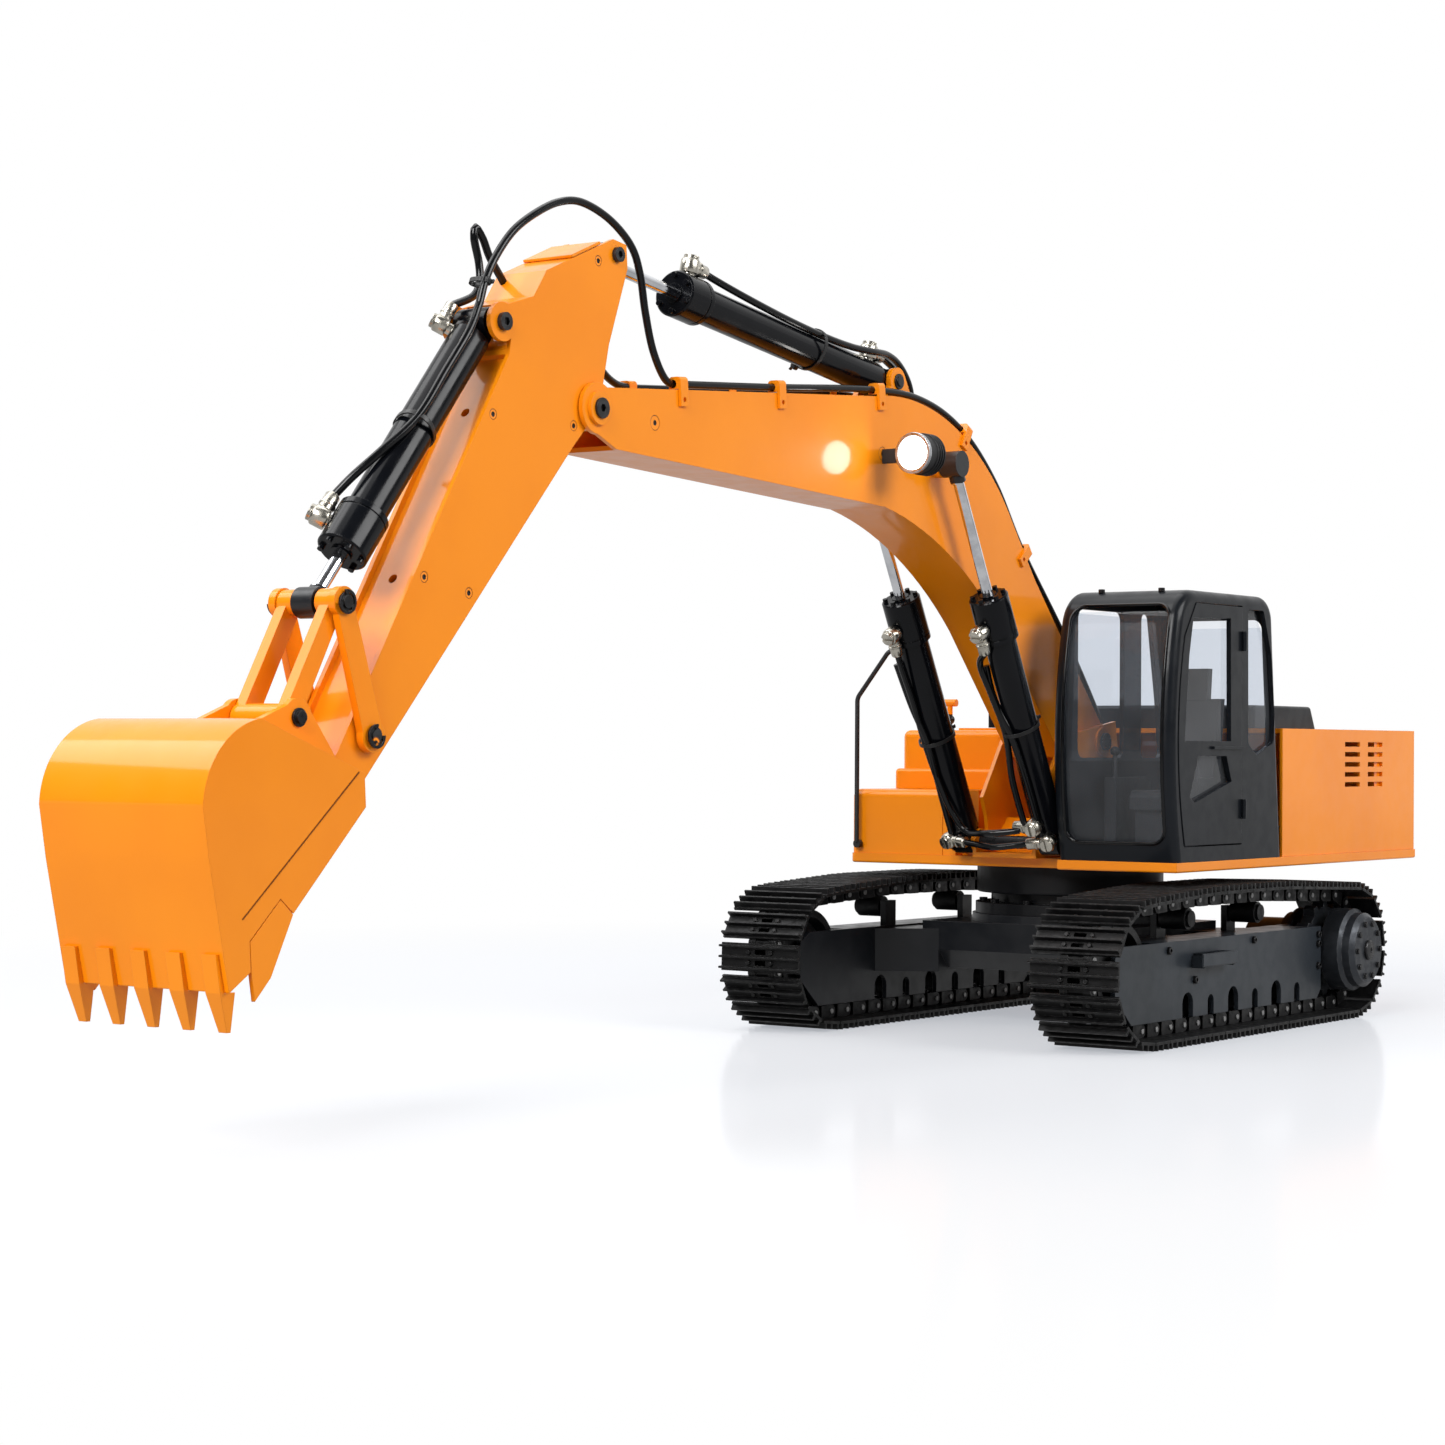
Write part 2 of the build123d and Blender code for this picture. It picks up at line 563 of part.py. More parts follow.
with BuildPart() as cab:
    with BuildSketch(Plane.XZ) as cab_profile:
        with BuildLine():
            ThreePointArc(*CAB_FRONT)
            Polyline(CAB_FRONT[2], (CAB_BACK_TOP_X, CAB_TOP), (CAB_REAR_X, FLOOR), CAB_FRONT[0])
        make_face()
        top_corners = cab_profile.vertices().group_by(Axis.Y)[-1].sort_by(Axis.X)
        fillet(top_corners[-1], CAB_BROW_R)
        fillet(cab_profile.vertices().group_by(Axis.Y)[-1].sort_by(Axis.X)[0], CAB_BACK_R)
    extrude(cab_profile.sketch.moved(Location((0, CAB_IN, 0))), amount=-(CAB_OUT - CAB_IN))
    rim = cab.faces().sort_by(Axis.Y)[0].edges() + cab.faces().sort_by(Axis.Y)[-1].edges()
    fillet(rim.filter_by(lambda e: e.center().Z > FLOOR + 1), CAB_ROUND)
    with BuildSketch(Plane.XZ) as room_profile:
        add(cab_profile.sketch)
        offset(amount=-CAB_WALL, mode=Mode.REPLACE)
    extrude(room_profile.sketch.moved(Location((0, CAB_IN + CAB_WALL, 0))),
            amount=-(CAB_OUT - CAB_IN - 2 * CAB_WALL), mode=Mode.SUBTRACT)
    block(CAB_REAR_X + CAB_WALL, CAB_FRONT_X - CAB_WALL, CAB_IN + CAB_WALL, CAB_OUT - CAB_WALL,
          FLOOR - 1, FLOOR + CAB_WALL + 1, mode=Mode.SUBTRACT)
    # windscreen opening
    with BuildSketch(Plane.YZ.offset(CAB_FRONT_X - 25)) as windscreen:
        with Locations((81.5, 188.5)):
            RectangleRounded(65, 141, 8)
    extrude(windscreen.sketch, amount=40, mode=Mode.SUBTRACT)
    # door opening and rear quarter window on the outer side
    with BuildSketch(side(CAB_OUT + 1)) as side_holes:
        with BuildLine():
            ThreePointArc((80.8, 115.2), (89.3, 175), (81.3, 241.5))
            Polyline((81.3, 241.5), (66.5, 261.8), (3, 261.8), (3, 115.2), (80.8, 115.2))
        make_face()
    extrude(side_holes.sketch, amount=8, mode=Mode.SUBTRACT)
    with BuildSketch(side(CAB_OUT + 1)) as quarter_hole:
        with BuildLine():
            Polyline((-5, 260), (-27, 260), (-38, 233), (-44, 195), (-42, 178), (-18, 170), (-6, 177), close=True)
        make_face()
        fillet(quarter_hole.vertices(), 3)
    extrude(quarter_hole.sketch, amount=8, mode=Mode.SUBTRACT)
    # windows on the boom side and at the back
    with BuildSketch(side(CAB_IN + 6)) as inner_holes:
        with Locations((40.5, 213.5)):
            RectangleRounded(59.5, 91, 6)
        with BuildLine():
            Polyline((-12.5, 168), (-12.5, 259), (-25, 259), (-36, 205), (-41, 168), close=True)
        make_face()
        fillet(inner_holes.vertices().filter_by(lambda v: v.X < 0), 4)
    extrude(inner_holes.sketch, amount=12, mode=Mode.SUBTRACT)
    with BuildSketch(Plane.YZ.offset(CAB_REAR_X - 2)) as rear_hole:
        with Locations((80.5, 214)):
            RectangleRounded(66, 82, 6)
    extrude(rear_hole.sketch, amount=26, mode=Mode.SUBTRACT)
save(cab.part, "cab_shell")

with BuildPart() as front_rear_glass:
    with BuildSketch(Plane.XZ) as glass_profile:
        add(cab_profile.sketch)
        offset(amount=-REVEAL, mode=Mode.REPLACE)
    with BuildSketch(Plane.XZ) as glass_back:
        add(glass_profile.sketch)
        offset(amount=-GLASS, mode=Mode.REPLACE)
    extrude(glass_profile.sketch.moved(Location((0, CAB_IN + 6, 0))), amount=-(CAB_OUT - CAB_IN - 12))
    extrude(glass_back.sketch.moved(Location((0, CAB_IN + 5, 0))), amount=-(CAB_OUT - CAB_IN - 10), mode=Mode.SUBTRACT)
    # keep the windscreen and the rear window of the ring
    block(-120, 120, 0, 150, 90, 111, mode=Mode.SUBTRACT)
    block(-120, 120, 0, 150, 256, 280, mode=Mode.SUBTRACT)
    block(-60, 0, 0, 150, 90, 169, mode=Mode.SUBTRACT)
    block(-120, 60, 0, 150, 250, 280, mode=Mode.SUBTRACT)
with BuildPart() as quarter_glass:
    slab([(-2, 261), (-20, 261), (-37, 238), (-42.5, 196), (-43, 168), (-2, 168)],
         CAB_OUT - REVEAL - GLASS, CAB_OUT - REVEAL)
with BuildPart() as inner_glass:
    slab([(80, 166), (76, 256), (-28, 256), (-38, 215), (-42, 166)], CAB_IN + REVEAL, CAB_IN + REVEAL + GLASS)
save(group(front_rear_glass.part.solids() + [quarter_glass.part, inner_glass.part]), "cab_glass")

with BuildPart() as door:
    with BuildSketch(side(CAB_OUT + 0.4)) as door_shape:
        with BuildLine():
            ThreePointArc((80.0, 116.0), (88.5, 175), (80.5, 241.2))
            Polyline((80.5, 241.2), (66.1, 261.0), (3.8, 261.0), (3.8, 116.0), (80.0, 116.0))
        make_face()
        with BuildLine():
            Polyline((81, 178.5), (75.5, 229), (70.2, 252), (20, 253.5), (19, 178.5), close=True)
        make_face(mode=Mode.SUBTRACT)
        with BuildLine():
            Polyline((62.7, 169.5), (25, 169.5), (18, 154), (67.7, 141.4), (74.3, 145), close=True)
        make_face(mode=Mode.SUBTRACT)
    extrude(door_shape.sketch, amount=3)
    slab([(45, 173.6), (45, 175.4), (3, 175.4), (3, 173.6)], CAB_OUT + 0.3, CAB_OUT + 2.2)
    for z in (137, 240):
        with Locations((3.2, CAB_OUT + 1.6, z)):
            Cylinder(1.5, 12)
save(door.part, "cab_door")
with BuildPart() as door_glass:
    slab([(82.6, 176.5), (77.5, 230), (72, 254.5), (17.5, 255.5), (16.5, 176.5)], CAB_OUT - 4.0, CAB_OUT - 3.05)
    slab([(76, 139.5), (72, 171.5), (16, 171.5), (16, 139.5)], CAB_OUT - 4.0, CAB_OUT - 3.05)
save(group(door_glass.part.solids()), "door_glass")

with BuildPart() as seat:
    block(-50, 84, 45, 116, FLOOR, FLOOR + 3)
    block(-6, 30, 62, 98, FLOOR + 3, FLOOR + 30)
    block(-12, 34, 60, 100, FLOOR + 30, FLOOR + 42)
    fillet(seat.edges().filter_by(Axis.Y).group_by(Axis.Z)[-1], 5)
    slab([(-12, 142), (-2, 142), (-12, 205), (-20, 205)], 62, 98)
    slab([(-17, 204), (-11, 204), (-13, 224), (-19, 224)], 70, 90)
    block(-2, 44, 48, 56, FLOOR + 3, FLOOR + 50)
    block(-2, 44, 104, 112, FLOOR + 3, FLOOR + 50)
    for y in (52, 108):
        with Locations((38, y, FLOOR + 56)):
            Cylinder(1.5, 16)
        with Locations((38, y, FLOOR + 66)):
            Sphere(3)
save(seat.part, "cab_seat")

# ---------------------------------------------------------------- boom
TIP_R = 13.0
with BuildSketch(Plane.XZ) as boom_outline:
    with BuildLine():
        lower_bend = ThreePointArc((120, 245), (178, 285), (252, 310))
        Polyline((252, 310), (503, 321.8), (527, 331.7), (518, 351.5), (262, 372))
        ThreePointArc((262, 372), (178, 363), (109, 312))
        Polyline((109, 312), (80, 277), (-8, 187), (-6, 168), (46, 168), (120, 245))
    make_face()
    with Locations(BOOM_FOOT):
        Circle(12)
    with Locations(ARM_PIVOT):
        Circle(TIP_R)
with BuildSketch(Plane.XZ) as boom_inside:
    add(boom_outline.sketch)
    offset(amount=-SHEET, mode=Mode.REPLACE)

EAR_IN, EAR_OUT = 9.0, 12.5
PIVOT_PIN_R = 4.0
with BuildPart() as boom:
    extrude(boom_outline.sketch, amount=BOOM_HALF, both=True)
    extrude(boom_inside.sketch, amount=BOOM_HALF - SHEET, both=True, mode=Mode.SUBTRACT)
    # fork for the arm: open to the end of the boom, and further back above the arm's heel
    slab([(501, 300), (501, 330), (486, 330), (486, 370), (545, 370), (545, 300)],
         -BOOM_HALF + SHEET, BOOM_HALF - SHEET, mode=Mode.SUBTRACT)
    bar(BOOM_FOOT, 10, -19.5, 19.5)
    bar(BOOM_FOOT, FOOT_PIN_R + RUN, -25, 25, mode=Mode.SUBTRACT)
    for y0, y1 in ((BOOM_HALF - 0.5, 20.3), (-20.3, -BOOM_HALF + 0.5)):
        bar(ARM_PIVOT, 8.5, y0, y1)
    bar(ARM_PIVOT, PIVOT_PIN_R + 0.01, -25, 25, mode=Mode.SUBTRACT)
    bar(BOOM_CYL_EYE, 7.5, -CYL_TUBE_END, CYL_TUBE_END)
    for y0, y1 in ((EAR_IN, EAR_OUT), (-EAR_OUT, -EAR_IN)):
        slab([(211, 370), (222, 388), (233, 388), (242, 370)], y0, y1)
        bar(ARM_CYL_BASE, 8, y0, y1)
    bar(ARM_CYL_BASE, 3.01, -15, 15, mode=Mode.SUBTRACT)
    for spot in ((471, 338), (255, 340)):
        for y0, y1 in ((BOOM_HALF - 0.8, BOOM_HALF), (-BOOM_HALF, -BOOM_HALF + 0.8)):
            bar(spot, 4.0, y0, y1, mode=Mode.SUBTRACT)
save(boom.part, "boom")

with BuildPart() as arm_pivot_pin:
    bar(ARM_PIVOT, PIVOT_PIN_R, -20.2, 20.2)
    for y0, y1 in ((20.35, 21.6), (-21.6, -20.35)):
        bar(ARM_PIVOT, 5.2, y0, y1)
    bar(ARM_PIVOT, PIVOT_PIN_R, -21, 21)
    with BuildSketch(side(21.6)) as key_socket:
        with Locations(ARM_PIVOT):
            RegularPolygon(2.2, 6)
    extrude(key_socket.sketch, amount=2, mode=Mode.SUBTRACT)
with BuildPart() as arm_base_pin:
    bar(ARM_CYL_BASE, 3.0, -14.4, 14.4)
    for y0, y1 in ((12.6, 13.6), (-13.6, -12.6)):
        bar(ARM_CYL_BASE, 4.4, y0, y1)


def countersunk(spot, half, radius=3.9):
    """Countersunk screw lying in a side face."""
    with BuildPart() as screw:
        bar(spot, radius, half - 0.78, half - 0.1)
        with BuildSketch(side(half)) as key:
            with Locations(spot):
                RegularPolygon(1.3, 6)
        extrude(key.sketch, amount=0.5, mode=Mode.SUBTRACT)
    return screw.part


boom_screws = [countersunk(spot, BOOM_HALF) for spot in ((471, 338), (255, 340))]
save(
    group([arm_pivot_pin.part, arm_base_pin.part] + boom_screws + [mirror(s, about=Plane.XZ) for s in boom_screws]),
    "boom_pins",
)

HOSE_R = 2.0
HOSE_Y = 15.2
with BuildPart() as clamp:
    block(-3.2, 3.2, BOOM_HALF + 0.05, BOOM_HALF + 1.7, -9, 5)
    block(-3.2, 3.2, HOSE_Y - 2.6, BOOM_HALF + 1.7, 0.1, 6.4)
    fillet(clamp.edges().filter_by(Axis.X).group_by(Axis.Z)[-1], 2.2)
    with Locations((0, HOSE_Y, 2.7)):
        Cylinder(HOSE_R + 0.15, 10, rotation=(0, 90, 0), mode=Mode.SUBTRACT)
    bar((0, -5.5), 1.3, BOOM_HALF, BOOM_HALF + 3, mode=Mode.SUBTRACT)
CLAMP_PLACES = ((448, 357.5, 4.6), (358, 364.8, 4.6), (258, 373.4, 6), (163, 358.4, -28), (92, 291.9, -50.4))
clamps = [clamp.part.moved(Location((x, 0, z), (0, tilt, 0))) for x, z, tilt in CLAMP_PLACES]
save(group(clamps + [mirror(c, about=Plane.XZ) for c in clamps]), "hose_clamps")

LAMP = (253.5, 44.0, 338.5)
LAMP_R = 11.0
LAMP_HALF = 10.0
with BuildPart() as lamp:
    with Locations(LAMP):
        Cylinder(LAMP_R, 2 * LAMP_HALF, rotation=(0, 90, 0))
    fillet(lamp.edges().filter_by(GeomType.CIRCLE).group_by(Axis.X)[0], 4)
    with Locations((LAMP[0] + LAMP_HALF - 3, LAMP[1], LAMP[2])):
        Cylinder(LAMP_R - 1.2, 7, rotation=(0, 90, 0), mode=Mode.SUBTRACT)
    block(LAMP[0] - 2, LAMP[0] + 2, BOOM_HALF + 0.05, LAMP[1] - 9.5, LAMP[2] - 4, LAMP[2] + 4)
save(lamp.part, "lamp_housing")
with BuildPart() as lens:
    with Locations((LAMP[0] + LAMP_HALF - 1.5, LAMP[1], LAMP[2])):
        Cylinder(LAMP_R - 1.3, 2.5, rotation=(0, 90, 0))
save(lens.part, "lamp_lens")

# ---------------------------------------------------------------- arm
ARM_OUTLINE = [
    (524, 331), (535, 320), (690, 152), (703, 142.8), (716, 156), (703, 170), (584, 361), (583, 368), (585, 385),
    (566, 391), (556, 405), (503, 427.5), (492, 426), (491, 414), (506, 374), (511, 352), (508, 336),
]
ARM_FRONT = ((703.0, 170.0), (584.0, 361.0))
ARM_CAVITY = [
    (541, 324), (672, 177), (688, 183), (577, 360), (576, 376), (560, 388), (552, 401), (525, 412), (518, 372),
    (529, 352),
]
ARM_SCREWS = ((596, 331), (515, 415), (534, 331), (645, 251), (613, 245), (685, 174))
ARM_IN = ARM_HALF - SHEET
with BuildPart() as arm:
    slab(ARM_OUTLINE, -ARM_HALF, ARM_HALF)
    bar(ARM_PIVOT, 11, -ARM_HALF, ARM_HALF)
    bar(BUCKET_CYL_BASE, 9.5, -ARM_HALF, ARM_HALF)
    bar(BUCKET_PIVOT, 9.5, -ARM_HALF, ARM_HALF)
    slab(ARM_CAVITY, -ARM_IN, ARM_IN, mode=Mode.SUBTRACT)
    bar(ARM_CYL_EYE, 30, -ARM_IN, ARM_IN, mode=Mode.SUBTRACT)
    # room for the bucket cylinder, which leaves the arm at its front
    bar(BUCKET_CYL_BASE, 12.5, -ARM_IN, ARM_IN, mode=Mode.SUBTRACT)
    slab(tapered(BUCKET_CYL_BASE, LINK_TOP, 12, 14), -ARM_IN, ARM_IN, mode=Mode.SUBTRACT)
    front = parallel(ARM_FRONT, -2)
    front_inner = parallel(ARM_FRONT, 3)
    slab(list(front) + front_inner[::-1], -ARM_IN, ARM_IN, mode=Mode.SUBTRACT)
    bar(ARM_PIVOT, PIVOT_PIN_R + RUN, -25, 25, mode=Mode.SUBTRACT)
    bar(LEVER_PIVOT, 6, -ARM_HALF, ARM_HALF)
    for spot, radius in ((LEVER_PIVOT, 3.01), (BUCKET_PIVOT, 3.51), (BUCKET_CYL_BASE, 3.51)):
        bar(spot, radius, -25, 25, mode=Mode.SUBTRACT)
    for z in (334, 252):
        x = ARM_FRONT[0][0] + (z - ARM_FRONT[0][1]) * (ARM_FRONT[1][0] - ARM_FRONT[0][0]) / (ARM_FRONT[1][1] - ARM_FRONT[0][1])
        with Locations(Location((x, 0, z), (0, 90 - 32.1, 0))):
            Cylinder(2.4, 24, mode=Mode.SUBTRACT)
    for spot in ARM_SCREWS:
        for y0, y1 in ((ARM_HALF - 0.8, ARM_HALF), (-ARM_HALF, -ARM_HALF + 0.8)):
            bar(spot, 2.7, y0, y1, mode=Mode.SUBTRACT)
save(arm.part, "arm")

ARM_HEAD = ARM_HALF + 0.05
with BuildPart() as bucket_cyl_pin:
    bar(BUCKET_CYL_BASE, 3.5, -ARM_HEAD - 2, ARM_HEAD + 2)
    for y0, y1 in ((ARM_HEAD, ARM_HEAD + 2.4), (-ARM_HEAD - 2.4, -ARM_HEAD)):
        bar(BUCKET_CYL_BASE, 4.4, y0, y1)
    with BuildSketch(side(ARM_HEAD + 2.4)) as head_socket:
        with Locations(BUCKET_CYL_BASE):
            RegularPolygon(2.2, 6)
    extrude(head_socket.sketch, amount=1.6, mode=Mode.SUBTRACT)
with BuildPart() as lever_pin:
    bar(LEVER_PIVOT, 3.0, -22.2, 22.2)
    for y0, y1 in ((20.4, 21.4), (-21.4, -20.4)):
        bar(LEVER_PIVOT, 4.2, y0, y1)
with BuildPart() as bucket_pin:
    bar(BUCKET_PIVOT, 3.5, -21.5, 21.5)
    for y0, y1 in ((19.9, 20.9), (-20.9, -19.9)):
        bar(BUCKET_PIVOT, 4.8, y0, y1)
with BuildPart() as eye_bolt:
    bar(ARM_CYL_EYE, 3.8, ARM_HEAD, ARM_HEAD + 2.4)
    with BuildSketch(side(ARM_HEAD + 2.4)) as bolt_socket:
        with Locations(ARM_CYL_EYE):
            RegularPolygon(2.0, 6)
    extrude(bolt_socket.sketch, amount=1.6, mode=Mode.SUBTRACT)
arm_bits = [eye_bolt.part] + [countersunk(spot, ARM_HALF, 2.6) for spot in ARM_SCREWS]
save(
    group([bucket_cyl_pin.part, lever_pin.part, bucket_pin.part] + arm_bits + [mirror(b, about=Plane.XZ) for b in arm_bits]),
    "arm_pins",
)

# ---------------------------------------------------------------- bucket
BUCKET_IN = BUCKET_HALF - 2.0
with BuildSketch(Plane.XZ) as bucket_outline:
    with BuildLine():
        Line((722, 161), (786, 184))
        ThreePointArc((786, 184), (807, 174.5), (820, 147))
        Polyline((820, 147), (816, 124), (804, 70), (791.5, 78), (792.3, 91), (774, 108), (766, 101.5), (721, 146), (722, 161))
    make_face()
with BuildSketch(Plane.XZ) as bucket_hollow:
    add(bucket_outline.sketch)
    offset(amount=-2, mode=Mode.REPLACE)
BUCKET_EAR = [(701, 158), (726, 189), (738, 191), (770, 179), (764, 173), (722, 158), (714, 143)]
EAR_A, EAR_B = 16.2, 19.7
with BuildPart() as bucket:
    extrude(bucket_outline.sketch, amount=BUCKET_HALF, both=True)
    extrude(bucket_hollow.sketch, amount=BUCKET_IN, both=True, mode=Mode.SUBTRACT)
    slab([(716, 148), (725, 150), (771, 107), (793, 88), (793, 82), (801, 74), (803, 60), (770, 80), (716, 140)],
         -BUCKET_IN, BUCKET_IN, mode=Mode.SUBTRACT)
    slab([(804, 70), (807, 84), (801, 86), (797, 74.5)], -BUCKET_IN, BUCKET_IN)
    for y0, y1 in ((EAR_A, EAR_B), (-EAR_B, -EAR_A)):
        slab(BUCKET_EAR, y0, y1)
        bar(BUCKET_PIVOT, 10, y0, y1)
        bar(LINK_LOW, 8.5, y0, y1)
    bar(BUCKET_PIVOT, 3.5 + RUN, -25, 25, mode=Mode.SUBTRACT)
    bar(LINK_LOW, 3.01, -25, 25, mode=Mode.SUBTRACT)
save(bucket.part, "bucket")

with BuildPart() as link_low_pin:
    bar(LINK_LOW, 3.0, EAR_A, 22.3)
    bar(LINK_LOW, 4.2, EAR_B + 0.1, 20.9)
save(both_sides(link_low_pin.part), "bucket_pins")

TOOTH_PITCH = 21.0
with BuildPart() as tooth:
    with BuildSketch(Plane.XY.offset(86)) as root_section:
        with Locations((808.5, 0)):
            Rectangle(2.0, 8.6)
    with BuildSketch(Plane.XY.offset(69.8)) as middle_section:
        with Locations((802.3, 0)):
            Rectangle(8.6, 8.6)
    with BuildSketch(Plane.XY.offset(53)) as tip_section:
        with Locations((799.5, 0)):
            Rectangle(2.2, 4.7)
    loft([root_section.sketch, middle_section.sketch, tip_section.sketch], ruled=True)
    slab([(804, 69.9), (816, 124), (809.4, 124), (801, 86), (797, 74), (797, 69.9)], -6, 6, mode=Mode.SUBTRACT)
tooth_solid = tooth.part.solids().sort_by(SortBy.VOLUME)[-1]
save(group([tooth_solid.moved(Location((0, TOOTH_PITCH * i, 0))) for i in range(-2, 3)]), "bucket_teeth")

with BuildPart() as cutter:
    slab([(766.3, 101), (779.5, 75), (789, 65.5), (791.1, 78), (791.9, 90.7), (774, 107.5)], BUCKET_IN, BUCKET_HALF)
save(both_sides(cutter.part), "side_cutters")

# ---------------------------------------------------------------- bucket linkage
LEVER_A, LEVER_B = 16.2, 20.2
with BuildPart() as lever:
    slab(tapered(LEVER_PIVOT, LINK_TOP, 6.5, 5.5), LEVER_A, LEVER_B)
    bar(LEVER_PIVOT, 7.5, LEVER_A, LEVER_B)
    bar(LINK_TOP, 7.0, LEVER_A, LEVER_B)
    bar(LEVER_PIVOT, 3.0 + RUN, 10, 25, mode=Mode.SUBTRACT)
    bar(LINK_TOP, 3.01, 10, 25, mode=Mode.SUBTRACT)
save(both_sides(lever.part), "bucket_levers")
with BuildPart() as top_pin:
    bar(LINK_TOP, 3.0, 7.3, 22.6)
    bar(LINK_TOP, 4.2, 20.3, 21.4)
save(both_sides(top_pin.part), "lever_pins")

LINK_OUT = 15.8
with BuildPart() as bucket_link:
    for y0, y1, b0, b1 in ((10, LINK_OUT, 7.3, LINK_OUT), (-LINK_OUT, -10, -LINK_OUT, -7.3)):
        slab(tapered(LINK_TOP, LINK_LOW, 4.5, 5.0), y0, y1)
        bar(LINK_TOP, 6.2, b0, b1)
    bar(LINK_LOW, 6.2, -LINK_OUT, LINK_OUT)
    bar(LINK_TOP, 3.0 + RUN, -20, 20, mode=Mode.SUBTRACT)
save(bucket_link.part, "bucket_link")


# ---------------------------------------------------------------- hydraulic cylinders
def barrel(length, eye_half, pin_radius, cap_length, cap_radius, body_radius):
    """Cylinder barrel along +X from its base pin, with a bolted end cap and a hollow for the piston."""
    cap = length - cap_length
    with BuildPart() as body:
        bar((0, 0), 7.6, -eye_half, eye_half)
        block(0, 12, -min(eye_half, 6.5), min(eye_half, 6.5), -6.5, 6.5)
        with BuildSketch(Plane.XY) as half_section:
            with BuildLine():
                Polyline(
                    (9, 0), (9, body_radius - 1), (10, body_radius), (cap, body_radius), (cap, cap_radius),
                    (cap + 3, cap_radius), (cap + 3, cap_radius - 0.5), (cap + 3.8, cap_radius - 0.5),
                    (cap + 3.8, cap_radius), (length - 0.8, cap_radius), (length, cap_radius - 0.8), (length, 5.2),
                    (length + 1.2, 5.2), (length + 1.2, 0), close=True,
                )
            make_face()
        revolve(half_section.sketch, axis=Axis.X)
        for i in range(6):
            turn = math.radians(60 * i + 30)
            with Locations((length + 0.5, (cap_radius - 2.6) * math.cos(turn), (cap_radius - 2.6) * math.sin(turn))):
                Cylinder(1.5, 3, rotation=(0, 90, 0))
        with BuildSketch(Plane.XY) as hollow:
            with BuildLine():
                Polyline(
                    (14, 0), (14, PISTON_R + RUN), (length - 14, PISTON_R + RUN), (length - 14, ROD_R + RUN),
                    (length + 2, ROD_R + RUN), (length + 2, 0), close=True,
                )
            make_face()
        revolve(hollow.sketch, axis=Axis.X, mode=Mode.SUBTRACT)
        bar((0, 0), pin_radius + RUN, -15, 15, mode=Mode.SUBTRACT)
    return body.part


def rod(eye_to_piston, eye_half, eye_radius, collar):
    """Rod along -X from its eye, with a collar next to the eye and the piston at the far end."""
    with BuildPart() as body:
        bar((0, 0), eye_radius, -eye_half, eye_half)
        with BuildSketch(Plane.XY) as half_section:
            with BuildLine():
                Polyline(
                    (0, 0), (0, 4.6), (-collar, 4.6), (-collar, ROD_R), (-eye_to_piston + 8, ROD_R),
                    (-eye_to_piston + 8, PISTON_R), (-eye_to_piston, PISTON_R), (-eye_to_piston, 0), close=True,
                )
            make_face()
        revolve(half_section.sketch, axis=Axis.X)
    return body.part


def place(part, start, end, at, y=0.0):
    """Turn a part that lies along +X to run from start to end, with its origin on the given pivot."""
    return part.moved(Location((at[0], y, at[1]), (0, -angle_of(start, end), 0)))


BOOM_BARREL, ARM_BARREL, BUCKET_BARREL = 168.0, 203.0, 150.0
boom_barrel = barrel(BOOM_BARREL, 6.5, FOOT_PIN_R, 28, 11.8, 9.6)
boom_rod = rod(math.dist(BOOM_CYL_BASE, BOOM_CYL_EYE) - 90, 6.0, 7.6, 11)
for name, y in (("left", BOOM_CYL_Y), ("right", -BOOM_CYL_Y)):
    save(place(boom_barrel, BOOM_CYL_BASE, BOOM_CYL_EYE, BOOM_CYL_BASE, y), f"{name}_boom_cylinder_barrel")
    save(place(boom_rod, BOOM_CYL_BASE, BOOM_CYL_EYE, BOOM_CYL_EYE, y), f"{name}_boom_cylinder_rod")
arm_barrel = barrel(ARM_BARREL, 8.8, 3.0, 20, 12.4, BARREL_R)
arm_rod = rod(math.dist(ARM_CYL_BASE, ARM_CYL_EYE) - 124, 9.0, 7.0, 10)
save(place(arm_barrel, ARM_CYL_BASE, ARM_CYL_EYE, ARM_CYL_BASE), "arm_cylinder_barrel")
save(place(arm_rod, ARM_CYL_BASE, ARM_CYL_EYE, ARM_CYL_EYE), "arm_cylinder_rod")
bucket_barrel = barrel(BUCKET_BARREL, 9.5, 3.5, 24, 12.4, BARREL_R)
bucket_rod = rod(math.dist(BUCKET_CYL_BASE, LINK_TOP) - 75, 6.3, 7.2, 8)
save(place(bucket_barrel, BUCKET_CYL_BASE, LINK_TOP, BUCKET_CYL_BASE), "bucket_cylinder_barrel")
save(place(bucket_rod, BUCKET_CYL_BASE, LINK_TOP, LINK_TOP), "bucket_cylinder_rod")
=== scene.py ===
import json
import math

import bmesh
import bpy
from mathutils import Matrix, Vector


